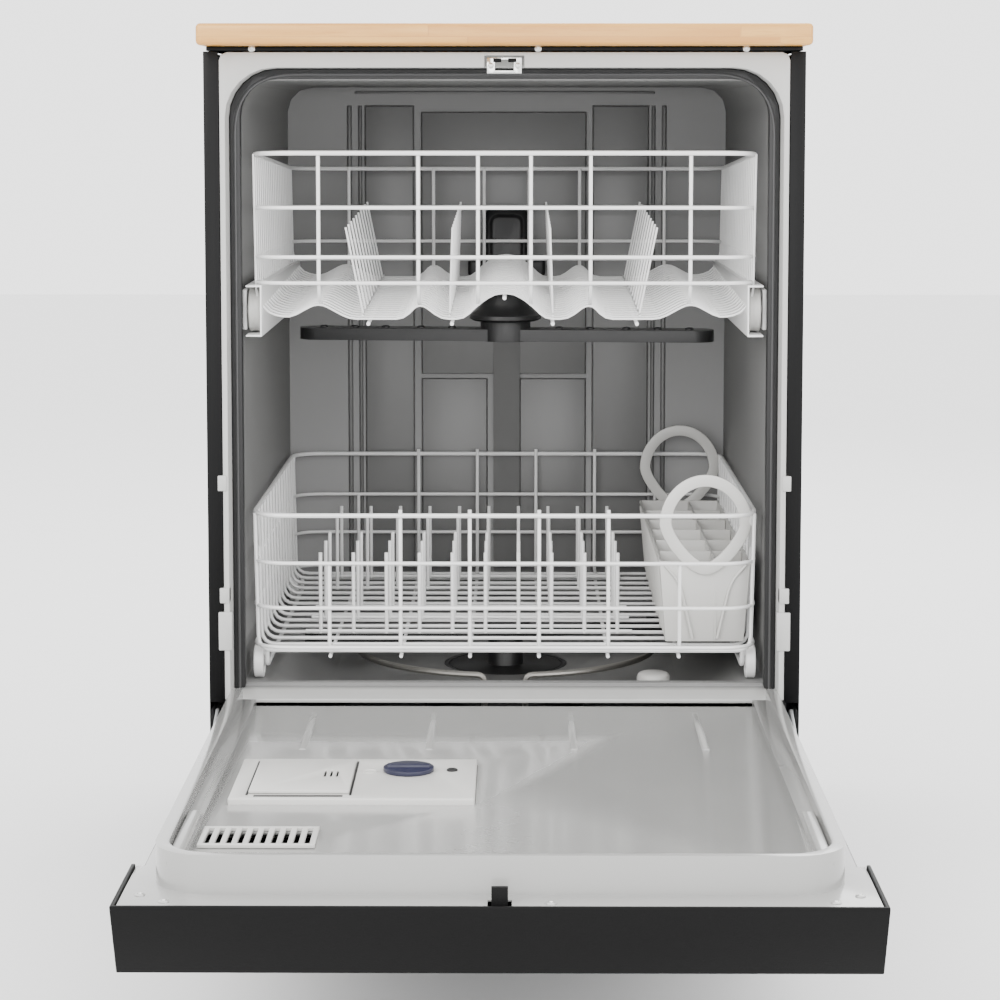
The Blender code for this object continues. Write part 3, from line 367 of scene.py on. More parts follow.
def screws(name, places, radius, turn, depth=0.0016):
    """Domed screw heads, each with a round recess."""
    profile = [(-0.001, radius), (depth * 0.35, radius), (depth * 0.8, radius * 0.8), (depth, radius * 0.45),
               (depth * 0.5, radius * 0.36)]
    return joined(name, [turned(name, place, profile, turn, 16) for place in places])


black_enamel = moulded(
    "black_enamel", (0.0035, 0.0035, 0.0037), 0.36, 260, 0.00012, 0.15, Specular_IOR_Level=0.12
)
screw_steel = moulded("screw_steel", (0.55, 0.55, 0.54), 0.34, 1400, 0.00002, Metallic=0.9)
fit(copied("worktop_frame", "worktop_ring", 0.0006), "cabinet", "black_enamel", black_enamel, "worktop_frame")
ring_low, ring_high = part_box("worktop_frame")
ring_mid = (ring_low.z + ring_high.z) / 2
# degrees of turn that point a round piece's top towards the front
FORWARD = (90, 0, 0)
WORKTOP_SCREWS_X = (-0.254, 0.034, 0.243)
heads = [(x, ring_low.y, ring_mid) for x in WORKTOP_SCREWS_X]
fit(screws("worktop_screws", heads, 0.0036, FORWARD), "cabinet", "bright_steel", screw_steel)

# ---------------------------------------------------------------- cabinet shell
# Folded sheet steel panels in black enamel: two sides, a rear panel and a toe panel, on a welded base frame
# with castor forks. A cast block at the back keeps the machine from tipping when the door is open.

galvanised = moulded("galvanised_steel", (0.42, 0.43, 0.43), 0.42, 500, 0.00005, 0.12, Metallic=0.85)
cast_iron = moulded("cast_iron", (0.05, 0.05, 0.052), 0.75, 180, 0.0006, 0.25)
black_plastic = moulded(
    "black_plastic", (0.0045, 0.0045, 0.0046), 0.46, 700, 0.00012, 0.12, Specular_IOR_Level=0.08
)
rubber = moulded("castor_rubber", (0.022, 0.022, 0.022), 0.7, 500, 0.0001, 0.15)
for node in ("left_side_panel", "right_side_panel", "rear_panel", "toe_panel"):
    fit(copied(node, node + "_sheet", 0.0004), "cabinet", "black_enamel", black_enamel, node)
fit(copied("base_frame", "base_rails", 0.0006), "cabinet", "black_enamel", black_enamel, "base_frame")
fit(copied("counterweight", "balance_block", 0.003), "cabinet", "cast_iron", cast_iron, "counterweight")
plate = copied("coupling_panel", "coupling_plate", 0.0006)
fit(plate, "cabinet", "black_plastic", black_plastic, "coupling_panel")

rear_low, rear_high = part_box("rear_panel")
BACKWARD = (-90, 0, 0)
SCREW_INSET = 0.016
screw_span = rear_high.z - rear_low.z - 2 * SCREW_INSET
heads = [
    (x, rear_high.y, rear_low.z + SCREW_INSET + screw_span * k / 4)
    for x in (rear_low.x + SCREW_INSET, rear_high.x - SCREW_INSET)
    for k in range(5)
]
fit(screws("rear_screws", heads, 0.0042, BACKWARD), "cabinet", "bright_steel", screw_steel)
RIB_X = (-0.18, -0.06, 0.06, 0.18)
RIB_HALF, RIB_PROUD = 0.018, 0.0035
ribs = []
rib_top = rear_high.z - 0.08
for x in RIB_X:
    rib_foot = rear_low.z + (0.24 if abs(x) < 0.1 else 0.10)
    rib = block("rib", (x - RIB_HALF, rear_high.y - 0.0004, rib_foot),
                (x + RIB_HALF, rear_high.y + RIB_PROUD, rib_top))
    edit(rib, "FACE", lambda face: face.normal.y > 0.9)
    bpy.ops.transform.resize(value=(0.6, 1, 0.985), center_override=(x, 0, (rib_foot + rib_top) / 2))
    close(rib)
    ribs.append(rounded(rib, 0.0012))
fit(joined("rear_ribs", ribs), "cabinet", "black_enamel", black_enamel)

# ---------------------------------------------------------------- castors
# Four fixed wheels in the base's forks: a hard rubber tread on a black plastic hub, on a steel pin.

CORNERS = ("front_right", "front_left", "rear_right", "rear_left")
SPOKE_HALF = 0.0016
SIDEWAYS = (0, 90, 0)
for corner in CORNERS:
    node = "castor_" + corner
    low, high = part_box(node)
    middle = (low + high) / 2
    radius, half = (high.z - low.z) / 2, (high.x - low.x) / 2
    disc = radius * 0.8
    tread = turned(
        node,
        middle,
        [(-half, radius * 0.34), (-half * 0.7, radius * 0.36), (-half * 0.55, radius * 0.8),
         (-half * 0.95, radius * 0.84), (-half * 0.95, radius * 0.95), (-half * 0.7, radius),
         (half * 0.7, radius), (half * 0.95, radius * 0.95), (half * 0.95, radius * 0.84),
         (half * 0.55, radius * 0.8), (half * 0.7, radius * 0.36), (half, radius * 0.34)],
        SIDEWAYS,
        40,
    )
    fit(tread, node, "black_rubber", rubber, node)
    spokes = [
        rounded(
            block("spoke", (middle.x - half * 0.8, middle.y - deep, middle.z - tall),
                  (middle.x + half * 0.8, middle.y + deep, middle.z + tall)),
            0.0005,
        )
        for deep, tall in ((disc, SPOKE_HALF), (SPOKE_HALF, disc))
    ]
    fit(joined(node + "_spokes", spokes), node, "black_rubber", black_plastic)

# ---------------------------------------------------------------- tub
# One moulding in grey plastic: a flange round the mouth painted paler as painted light, and a cavity painted
# darker as painted shade, with stiffening panels and ribs pressed into its back wall.

tub_low, tub_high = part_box("tub")
tub_front, tub_back = tub_low.y + 0.014, tub_high.y


def paint_tub_light_and_shade(place):
    """Flange painted paler as painted light, cavity darker from 30 mm in as painted shade, with hard-water
    bloom on the walls.
    """
    depth = place.node("SeparateXYZ", None, {0: place}, 1)
    # mask of the painted light and shade: 0 on the flange, 1 in the cavity, ramping from 30 to 50 mm behind
    # the mouth
    inside = ((depth - (tub_front + 0.030)) * 50).math("MINIMUM", 1).math("MAXIMUM", 0)
    bloom = noise(place, 9, (1, 1, 0.5), 5)
    speck = noise(place, 700, detail=2)
    colour = mix(bloom, (0.13, 0.13, 0.129), (0.175, 0.175, 0.172))
    # painted light: the flange's pale grey; the cavity's darker grey is painted shade
    colour = mix(1 - inside, colour, (0.40, 0.40, 0.39))
    return {
        "Base Color": colour,
        "Roughness": bloom * 0.16 + 0.26,
        "Normal": bumped(speck, 0.00005),
    }


tub_grey = finish("tub_plastic", paint_tub_light_and_shade)
fit(copied("tub", "tub_shell", 0.0009), "cabinet", "grey_tub_plastic", tub_grey, "tub")

wall = tub_back - 0.0026
# each panel's left, right, bottom and top edges, and how far it stands out of the back wall
PANELS = [
    (-0.1955, -0.1885, 0.250, 0.846, 0.0035),
    (-0.1820, -0.1760, 0.250, 0.846, 0.0035),
    (-0.1740, -0.1124, 0.250, 0.846, 0.0050),
    (-0.1050, -0.0230, 0.250, 0.512, 0.0060),
    (0.0150, 0.0979, 0.250, 0.512, 0.0060),
    (-0.1050, 0.0979, 0.517, 0.838, 0.0060),
    (0.1040, 0.1740, 0.250, 0.846, 0.0050),
    (0.1760, 0.1820, 0.250, 0.846, 0.0035),
    (0.1885, 0.1955, 0.250, 0.846, 0.0035),
    (-0.1860, 0.1810, 0.8595, 0.8625, 0.0030),
]
panels = []
for left, right, bottom, top, proud in PANELS:
    panel = block("panel", (left, wall - proud, bottom), (right, wall + 0.001, top))
    edit(panel, "FACE", lambda face: face.normal.y < -0.9)
    inner = ((right - left - 2 * min(proud, 0.002)) / (right - left), 1, 0.994)
    bpy.ops.transform.resize(value=inner, center_override=((left + right) / 2, 0, (bottom + top) / 2))
    close(panel)
    panels.append(rounded(panel, 0.0009))
fit(joined("tub_back_panels", panels), "cabinet", "grey_tub_plastic", tub_grey)

# ---------------------------------------------------------------- tub clips
# Small tabs moulded on the flange's outer edges, which snap over the side panels' folds.

# each clip's inner and outer edges, its bottom and its top
CLIPS = ((0.2830, 0.2925, 0.451, 0.467), (0.2815, 0.2915, 0.335, 0.351), (0.2790, 0.2930, 0.286, 0.326))
CLIP_FRONT, CLIP_BACK = tub_front - 0.0012, tub_front + 0.012
clips = []
for side in (-1, 1):
    for inner, outer, bottom, top in CLIPS:
        near, far = sorted((side * inner, side * outer))
        clips.append(rounded(block("clip", (near, CLIP_FRONT, bottom), (far, CLIP_BACK, top)), 0.0012))
fit(joined("tub_clips", clips), "cabinet", "grey_tub_plastic", tub_grey)

# ---------------------------------------------------------------- gasket
# A dark grey rubber door seal pressed into the tub's mouth, its middle lip painted paler as a painted
# highlight.


def bent(points, radius, steps=4, ring=False):
    """The line through the points with every corner bent round."""
    count = len(points)
    line = []
    for k, point in enumerate(points):
        if not ring and k in (0, count - 1):
            line.append(tuple(point))
            continue
        before, after = points[k - 1], points[(k + 1) % count]
        a = [p - q for p, q in zip(before, point)]
        b = [p - q for p, q in zip(after, point)]
        la, lb = math.dist(before, point), math.dist(after, point)
        reach = min(radius, la * 0.49, lb * 0.49)
        start = [p + v / la * reach for p, v in zip(point, a)]
        end = [p + v / lb * reach for p, v in zip(point, b)]
        for step in range(steps + 1):
            t = step / steps
            corner = zip(start, point, end)
            line.append(tuple((1 - t) ** 2 * s + 2 * t * (1 - t) * p + t * t * e for s, p, e in corner))
    return line


def wires(name, runs, sides=8):
    """Round wires as one mesh. Each run is its points, its radius and whether it closes on itself."""
    curve = bpy.data.curves.new(name, "CURVE")
    curve.dimensions = "3D"
    curve.bevel_depth = 1
    curve.bevel_resolution = (sides - 4) // 2
    curve.use_fill_caps = True
    for points, radius, ring in runs:
        spline = curve.splines.new("POLY")
        spline.points.add(len(points) - 1)
        for knot, point in zip(spline.points, points):
            knot.co = (*point, 1)
            knot.radius = radius
        spline.use_cyclic_u = ring
    bpy.ops.object.select_all(action="DESELECT")
    piece = bpy.data.objects.new(name, curve)
    bpy.context.scene.collection.objects.link(piece)
    piece.select_set(True)
    bpy.context.view_layer.objects.active = piece
    bpy.ops.object.convert(target="MESH")
    return apart(bpy.context.object, name)


seal_grey = moulded("seal_rubber", (0.012, 0.012, 0.0125), 0.5, 500, 0.00006, 0.15)
# painted highlight: the lip is the seal's own rubber, painted paler where light catches its rib
lip_painted_highlight = moulded("seal_lip_painted_highlight", (0.045, 0.045, 0.046), 0.45, 500, 0.00006, 0.1)
fit(copied("tub_gasket", "door_seal", 0.0012), "cabinet", "black_rubber", seal_grey, "tub_gasket")
seal_low, seal_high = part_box("tub_gasket")
LIP_INSET = 0.0056
LIP_CORNER = 0.062
LIP_RADIUS = 0.0016
lip = [
    (seal_low.x + LIP_INSET, seal_low.y, seal_low.z),
    (seal_low.x + LIP_INSET, seal_low.y, seal_high.z - LIP_INSET),
    (seal_high.x - LIP_INSET, seal_low.y, seal_high.z - LIP_INSET),
    (seal_high.x - LIP_INSET, seal_low.y, seal_low.z),
]
lip_line = bent(lip, LIP_CORNER, 12)
fit(wires("seal_lip_painted_highlight", [(lip_line, LIP_RADIUS, False)]), "cabinet", "black_rubber", lip_painted_highlight)

# ---------------------------------------------------------------- door strike
# A bright plated strike let into the middle of the flange's top edge, held by two screws. Two dark stops
# stand in its opening over a short tongue, which the door's hook catches.

bright = moulded("bright_plate", (0.68, 0.68, 0.67), 0.22, 900, 0.00002, 0.05, Metallic=1.0)
fit(copied("door_strike", "strike_plate", 0.0005), "cabinet", "bright_steel", bright, "door_strike")
low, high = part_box("door_strike")
middle = (low + high) / 2
STRIKE_SCREWS_X = (-0.0135, 0.0135)
PRONGS_X = (-0.0072, 0.0080)
PRONG_HALF = 0.0042
TONGUE_INSET = 0.006
prong_back = low.y + 0.002
heads = [(middle.x + x, low.y, middle.z) for x in STRIKE_SCREWS_X]
prongs = [
    rounded(block("prong", (middle.x + x - PRONG_HALF, low.y - 0.0002, middle.z + 0.0033),
                  (middle.x + x + PRONG_HALF, prong_back, middle.z + 0.0074)), 0.0004)
    for x in PRONGS_X
]
fit(joined("strike_prongs", prongs), "cabinet", "black_plastic", black_plastic)
tongue = block("strike_tongue", (low.x + TONGUE_INSET, low.y - 0.0009, middle.z - 0.0070),
               (high.x - TONGUE_INSET, prong_back, middle.z - 0.0048))
fit(rounded(tongue, 0.0006), "cabinet", "bright_steel", bright)
fit(screws("strike_screws", heads, 0.0030, FORWARD, 0.0012), "cabinet", "bright_steel", screw_steel)

# ---------------------------------------------------------------- water parts
# Under the tub hang the sump and two pumps; above them lie the filter and the heating rod. A flat tube
# carries water up the back wall to the dock that the upper rack's pipe pushes into.

dark_plastic = moulded("dark_grey_plastic", (0.006, 0.006, 0.0063), 0.42, 600, 0.00008, 0.1)
rod_steel = moulded("heater_rod", (0.30, 0.29, 0.27), 0.36, 300, 0.00004, 0.25, Metallic=0.9)
grey_plastic = moulded("warm_grey_plastic", (0.54, 0.535, 0.515), 0.33, 300, 0.00003, 0.04)
nylon = moulded("white_nylon", (0.78, 0.78, 0.775), 0.32, 600, 0.00008, 0.03, Coat_Weight=0.2)
for node, name, edge_round in (
    ("sump", "sump_bowl", 0.0012),
    ("filter_screen", "filter_disc", 0.0008),
    ("wash_pump", "wash_pump_case", 0.002),
    ("drain_pump", "drain_pump_case", 0.002),
):
    fit(copied(node, name, edge_round), "cabinet", "dark_grey_plastic", dark_plastic, node)
riser = copied("feed_tube", "feed_riser", 0.0015)
fit(riser, "cabinet", "grey_tub_plastic", tub_grey, "feed_tube")
low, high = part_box("feed_tube")
dock_top = high.z
DOCK_HALF = 0.030
arch = block("dock_arch", (-DOCK_HALF, low.y - 0.0005, dock_top - 0.060),
             (DOCK_HALF, low.y + 0.020, dock_top + 0.024))


def top_side_edge(edge):
    """The two upper edges of the arch that run from front to back."""
    a, b = (arch.data.vertices[v].co for v in edge.vertices)
    return min(a.z, b.z) > dock_top and abs(a.y - b.y) > 0.01


edit(arch, "EDGE", top_side_edge)
bpy.ops.mesh.bevel(offset=0.020, segments=6)
edit(arch, "FACE", lambda face: face.normal.y < -0.9)
bpy.ops.mesh.inset(thickness=0.009)
bpy.ops.transform.translate(value=(0, -0.007, 0))
bpy.ops.mesh.inset(thickness=0.004)
bpy.ops.transform.translate(value=(0, 0.004, 0))
close(arch)
EAR_HALF = 0.011
ears = [
    rounded(block("dock_ear", (x - EAR_HALF, low.y + 0.004, dock_top - 0.062),
                  (x + EAR_HALF, low.y + 0.016, dock_top - 0.038)), 0.005, 3)
    for x in (-0.036, 0.036)
]
fit(joined("dock_socket", [rounded(arch, 0.0015), *ears]), "cabinet", "dark_grey_plastic", dark_plastic)
low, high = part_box("heater_element")
ROD_REACH = 0.0035
ROD_GAP_HALF = 0.022
LOOP_STEPS = 60
radius = (high.x - low.x) / 2 - ROD_REACH
centre = ((low.x + high.x) / 2, high.y - ROD_REACH - radius, high.z - ROD_REACH)
loop = []
gap = math.asin(ROD_GAP_HALF / radius)
for k in range(LOOP_STEPS + 1):
    angle = -math.pi / 2 + gap + (2 * math.pi - 2 * gap) * k / LOOP_STEPS
    loop.append((centre[0] + radius * math.cos(angle), centre[1] + radius * math.sin(angle), centre[2]))
loop = [(loop[0][0], loop[0][1], low.z)] + loop + [(loop[-1][0], loop[-1][1], low.z)]
fit(wires("heater_rod", [(bent(loop, 0.010, 4), 0.0034, False)], 10), "cabinet", "bright_steel", rod_steel,
    "heater_element")
fit(copied("float_dome", "float_cap", 0.001), "float", "light_grey_plastic", grey_plastic, "float_dome")

# ---------------------------------------------------------------- rack rollers
# White nylon brackets clipped to the tub's sides, each with two grooved wheels that the upper rack's rails
# run on. The wheels are moulded hollow, with a thin web between hub and tread.

for side in ("left", "right"):
    node = side + "_roller_bracket"
    fit(copied(node, node + "_clip", 0.0012), "cabinet", "white_nylon", nylon, node)
for corner in CORNERS:
    node = "roller_" + corner
    low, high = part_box(node)
    middle = (low + high) / 2
    radius, half = (high.z - low.z) / 2, (high.x - low.x) / 2
    wheel = turned(
        node + "_wheel",
        middle,
        [(-half, radius * 0.30), (-half * 0.6, radius * 0.34), (-half * 0.5, radius * 0.78),
         (-half, radius * 0.84), (-half, radius * 0.97), (-half * 0.8, radius), (-half * 0.2, radius * 0.95),
         (half * 0.2, radius * 0.95), (half * 0.8, radius), (half, radius * 0.97), (half, radius * 0.84),
         (half * 0.5, radius * 0.78), (half * 0.6, radius * 0.34), (half, radius * 0.30)],
        SIDEWAYS,
        40,
    )
    fit(wheel, node, "light_grey_plastic", grey_plastic, node)

# ---------------------------------------------------------------- door
# A steel outer panel on two hinge arms, with a moulded grey liner whose rim catches the splash and whose side
# tracks carry the lower rack. Springs inside the base balance it.

liner_plastic = moulded(
    "liner_plastic", (0.30, 0.30, 0.292), 0.2, 120, 0.00002, 0.03, Coat_Weight=0.5, Coat_Roughness=0.12
)
fit(copied("door_outer_panel", "door_skin", 0.0008), "door", "black_enamel", black_enamel, "door_outer_panel")
fit(copied("door_liner", "door_inner", 0.0016, 3), "door", "light_grey_plastic", liner_plastic, "door_liner")
console = copied("door_console", "console_shell", 0.0012, 3)
fit(console, "door", "black_plastic", black_plastic, "door_console")
for side in ("left", "right"):
    node = side + "_hinge_arm"
    fit(copied(node, node + "_bar", 0.0004), "door", "bright_steel", galvanised, node)
    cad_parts[side + "_door_spring"].data.materials.clear()
    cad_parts[side + "_door_spring"].data.materials.append(screw_steel)
liner_low, liner_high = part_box("door_liner")
flange_top = liner_low.z + 0.0015
floor_top = liner_low.z + 0.0145
track_top = liner_low.z + 0.0215
RIDGES_X = (-0.190, -0.070, 0.067, 0.192)
RIDGE_HALF = 0.005
RIDGE_START, RIDGE_END = liner_high.y - 0.190, liner_high.y - 0.030
STEP_SIDES = (0.2535, 0.2645)
STEP_START, STEP_END = liner_low.y + 0.046, liner_low.y + 0.205
ridges = []
for x in RIDGES_X:
    ridge = block("ridge", (x - RIDGE_HALF, RIDGE_START, floor_top - 0.001),
                  (x + RIDGE_HALF, RIDGE_END, floor_top + 0.0012))
    edit(ridge, "FACE", lambda face: face.normal.z > 0.9)
    bpy.ops.transform.resize(value=(0.4, 0.97, 1), center_override=(x, liner_high.y - 0.110, floor_top))
    close(ridge)
    ridges.append(rounded(ridge, 0.0008))
for side in (-1, 1):
    near, far = sorted(side * x for x in STEP_SIDES)
    step = block("step", (near, STEP_START, track_top - 0.001), (far, STEP_END, track_top + 0.0055))
    edit(step, "FACE", lambda face: face.normal.z > 0.9)
    bpy.ops.transform.resize(value=(1, 0.93, 1), center_override=(0, STEP_START, track_top))
    close(step)
    ridges.append(rounded(step, 0.002, 3))
fit(joined("door_inner_ridges", ridges), "door", "light_grey_plastic", liner_plastic)
UPWARD = (0, 0, 0)
LINER_SCREWS = ((-0.283, 0.030), (-0.262, 0.012), (0.262, 0.012), (0.283, 0.030), (0.040, 0.009))
heads = [(x, liner_low.y + y, flange_top) for x, y in LINER_SCREWS]
fit(screws("liner_screws", heads, 0.0042, UPWARD), "door", "bright_steel", screw_steel)

# ---------------------------------------------------------------- dispenser
# A chamfered body on the liner: a hinged lid over the detergent cup, a turning rinse-aid cap, a round recess
# with the lid's catch and a small round level window. The vent's grille sits on the liner below it.

fit(copied("dispenser_body", "dispenser_case", 0.0018, 3), "door", "light_grey_plastic", grey_plastic,
    "dispenser_body")
fit(copied("detergent_lid", "detergent_flap", 0.0008), "detergent_lid", "light_grey_plastic", grey_plastic,
    "detergent_lid")
low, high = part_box("dispenser_body")
lid_low, lid_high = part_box("detergent_lid")
# painted shadow: dark strips laid on the body beside and in front of the lid, where the gaps round it fall in
# shade
gap_foot, gap_top = high.z - 0.001, high.z + 0.00035
gap_shadow_strips = [
    rounded(block("gap", (a, lid_low.y - 0.004, gap_foot), (b, lid_high.y + 0.002, gap_top)), 0.0001)
    for a, b in ((lid_low.x - 0.0024, lid_low.x - 0.0004), (lid_high.x + 0.0004, lid_high.x + 0.0024))
]
gap_shadow_strips.append(
    rounded(
        block("gap", (lid_low.x + 0.005, lid_low.y - 0.009, gap_foot),
              (lid_high.x - 0.005, lid_low.y - 0.004, gap_top)),
        0.0002,
    )
)
fit(joined("dispenser_gap_shadows", gap_shadow_strips), "door", "black_plastic", dark_plastic)
recess = turned("catch_recess", (lid_high.x + 0.014, (lid_low.y + lid_high.y) / 2 + 0.024, high.z),
                [(-0.002, 0.007), (0.0006, 0.007), (0.0006, 0.0058), (-0.0012, 0.0050)], sides=28)
fit(recess, "door", "light_grey_plastic", grey_plastic)
window = turned(
    "level_window",
    (high.x - 0.022, (low.y + high.y) / 2 + 0.028, high.z),
    [(-0.002, 0.0050), (0.0012, 0.0050), (0.0018, 0.0042), (0.0012, 0.0038), (0.0016, 0.002)],
    sides=28,
)
fit(window, "door", "dark_grey_plastic", dark_plastic)
blue = moulded("rinse_cap_blue", (0.010, 0.011, 0.034), 0.38, 500, 0.00005, 0.08)
fit(copied("rinse_cap", "rinse_knob", 0.0009), "rinse_cap", "blue_cap", blue, "rinse_cap")
fit(copied("vent_cover", "vent_grille", 0.0005), "door", "light_grey_plastic", grey_plastic, "vent_cover")

# ---------------------------------------------------------------- controls
# The latch lever with its hook, two push buttons and the timer dial, all moulded in black.

for node, body in (
    ("latch_lever", "latch"),
    ("start_button", "start_button"),
    ("options_button", "options_button"),
    ("cycle_dial", "cycle_dial"),
):
    fit(copied(node, node + "_cap", 0.0005), body, "black_plastic", black_plastic, node)

# ---------------------------------------------------------------- upper rack
# Steel wire coated in white nylon. Close wires run down one side, across in waves and up the other, tied by
# lengthwise bars; four rows of leaning tines stand on the floor.

low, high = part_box("upper_rack_walls")
BAR, WIRE, FINE = 0.0024, 0.0020, 0.0012
left, right, front, back = low.x + BAR, high.x - BAR, low.y + BAR, high.y - BAR
rim = high.z - BAR
BACK_DROP = 0.025
BACK_RISE = 0.018
# how far below the rim: the three lower bars, the turned-in feet, and the floor where the tines stand
HOOP_DROPS = (0.0555, 0.106, 0.1325)
FOOT_DROPS = (0.150, 0.156)
TINE_DROP = 0.1690


def rim_height(y, drop=0.0):
    """Height of a bar that hangs that far below the rim, which falls towards the back."""
    share = (y - front) / (back - front)
    return rim - drop - BACK_DROP * share * (1 - drop / 0.14)


def floor_rise(y):
    """The floor rises towards the back."""
    return BACK_RISE * (y - front) / (back - front)


def hoop(drop, radius, corner=0.045):
    """A bar right round the rack."""
    middle_y = (front + back) / 2
    flat = bent(
        [(left, front, 0), (left, middle_y, 0), (left, back, 0), (right, back, 0), (right, middle_y, 0),
         (right, front, 0)],
        corner,
        6,
        True,
    )
    return [(x, y, rim_height(y, drop)) for x, y, z in flat], radius, True


POSTS_X = (-0.190, -0.088, -0.027, 0.027, 0.088, 0.190)
TIES_X = (-0.140, -0.054, 0.0, 0.0496, 0.136)
TIE_DROP, MIDDLE_TIE_DROP = 0.1755, 0.149
runs = [hoop(0, BAR)] + [hoop(drop, WIRE) for drop in HOOP_DROPS]
for x in POSTS_X:
    for y, inward in ((front + BAR, 0.010), (back - BAR, -0.010)):
        post = [(x, y, rim_height(y)), (x, y, rim - HOOP_DROPS[2]), (x, y + inward, rim - FOOT_DROPS[0]),
                (x, y + 3 * inward, rim - FOOT_DROPS[1])]
        runs.append((bent(post, 0.010), WIRE, False))
for x in TIES_X:
    drop = TIE_DROP if x else MIDDLE_TIE_DROP
    runs.append(([(x, y, rim - drop + floor_rise(y)) for y in (front + 0.012, back - 0.012)], WIRE, False))
fit(wires("upper_basket_frame", runs), "upper_rack", "white_nylon", nylon, "upper_rack_walls")

# half of one cross wire: how far out each knot lies, and how far below the rim
WAVE = ((0.010, 0.145), (0.028, 0.157), (0.042, 0.1715), (0.065, 0.1715), (0.083, 0.158), (0.091, 0.158),
        (0.104, 0.1715), (0.160, 0.1715), (0.187, 0.157), (0.197, 0.157), (0.222, 0.1705), (0.244, 0.166))
CROSS_WIRES = 22
END_GAP = 0.024
runs = []
for k in range(CROSS_WIRES):
    y = front + END_GAP + (back - front - 2 * END_GAP) * k / (CROSS_WIRES - 1)
    half = [(x, y, rim - drop + floor_rise(y)) for x, drop in WAVE]
    half += [(right - 0.002, y, rim - 0.148 + floor_rise(y)), (right, y, rim_height(y))]
    line = [(-x, y, z) for x, y, z in reversed(half)] + half
    runs.append((bent(line, 0.008, 2), FINE, False))
fit(wires("upper_basket_wires", runs, 6), "upper_rack", "white_nylon", nylon, "upper_rack_floor")

# each row of tines: where it stands and how far its tips lean out
TINE_ROWS = ((-0.147, -0.018), (-0.057, 0.003), (0.050, -0.003), (0.140, 0.018))
TINE_PITCH, TINE_HEIGHT = 0.044, 0.090
runs = []
for x, lean in TINE_ROWS:
    for k in range(10):
        y = front + 0.046 + TINE_PITCH * k
        base = rim - TINE_DROP + floor_rise(y)
        tine = [(x, y - 0.004, base), (x, y, base), (x + lean, y, base + TINE_HEIGHT)]
        runs.append((bent(tine, 0.004), FINE, False))
    row_ends = (front + 0.030, back - 0.030)
    runs.append(([(x, y, rim - TINE_DROP + floor_rise(y)) for y in row_ends], FINE, False))
fit(wires("upper_basket_tines", runs), "upper_rack", "white_nylon", nylon, "upper_rack_tines")
for node in ("left_upper_rail", "right_upper_rail"):
    fit(copied(node, node + "_channel", 0.0008), "upper_rack", "white_nylon", nylon, node)
pipe = copied("upper_feed_pipe", "upper_pipe", 0.0012)
fit(pipe, "upper_rack", "dark_grey_plastic", dark_plastic, "upper_feed_pipe")

low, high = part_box("upper_feed_pipe")
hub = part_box("upper_spray_arm")
hub_centre = ((hub[0].x + hub[1].x) / 2, (hub[0].y + hub[1].y) / 2, low.z)
dome = turned(
    "hub_dome",
    hub_centre,
    [(0.0006, 0.036), (0.003, 0.040), (0.007, 0.039), (0.013, 0.031), (0.020, 0.026), (0.026, 0.0245),
     (0.030, 0.021)],
    sides=40,
)
fit(dome, "upper_rack", "dark_grey_plastic", dark_plastic)

# ---------------------------------------------------------------- spray arms
# Two hollow dark arms that spin on a hub, with small nozzles moulded along their tops.

ARM_THICKNESS = 0.0135
NOZZLE_REACHES = (-0.205, -0.170, -0.135, -0.095, -0.060, 0.060, 0.095, 0.135, 0.170, 0.205)
NOZZLE = [(-0.002, 0.0052), (0.0012, 0.0048), (0.0022, 0.0036), (0.0010, 0.0016)]
for node, body, turn in (("upper_spray_arm", "upper_arm", -5), ("lower_spray_arm", "lower_arm", 12)):
    fit(copied(node, node + "_blade", 0.0022, 3), body, "dark_grey_plastic", dark_plastic, node)
    low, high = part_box(node)
    middle = (low + high) / 2
    angle = math.radians(turn)
    nozzles = []
    for reach in NOZZLE_REACHES:
        x, y = middle.x + reach * math.cos(angle), middle.y + reach * math.sin(angle)
        nozzles.append(turned("nozzle", (x, y, low.z + ARM_THICKNESS), NOZZLE, sides=16))
    fit(joined(node + "_nozzles", nozzles), body, "dark_grey_plastic", dark_plastic)

# ---------------------------------------------------------------- lower rack
# The same coated wire: four bars right round, uprights whose tips stand above the top bar, a flat floor of
# cross wires, and rows of upright tines for plates. It rolls on four wheels.

low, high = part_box("lower_rack_walls")
left, right, front, back = low.x + BAR, high.x - BAR, low.y + BAR, high.y - BAR
bars = [0.420, 0.370, 0.323, 0.2815]
TIP = 0.006
foot = bars[3] - 0.001
floor_top = 0.2745
UPRIGHTS_X = (-0.108, -0.036, 0.036, 0.108)
SHORT_UPRIGHTS_X = (-0.182, 0.182)
runs = []
for k, z in enumerate(bars):
    ring = bent([(left, front, z), (left, back, z), (right, back, z), (right, front, z)], 0.040, 6, True)
    runs.append((ring, BAR if k == 0 else WIRE, True))
for y, inward in ((front + BAR, 0.012), (back - BAR, -0.012)):
    uprights = [(x, bars[0] + TIP) for x in UPRIGHTS_X] + [(x, bars[1]) for x in SHORT_UPRIGHTS_X]
    for x, tip in uprights:
        upright = [(x, y, tip), (x, y, foot), (x, y + inward * 3, bars[3] - 0.005)]
        runs.append((bent(upright, 0.008), WIRE, False))
for x in (left, right):
    inner = x - math.copysign(BAR, x)
    for y, step in ((front, 1), (back, -1)):
        runs.append((bent([(inner, y + 0.030 * step, bars[0]), (inner, y + 0.060 * step, bars[1]),
                           (inner, y + 0.120 * step, bars[3])], 0.020), WIRE, False))
fit(wires("lower_basket_frame", runs), "lower_rack", "white_nylon", nylon, "lower_rack_walls")

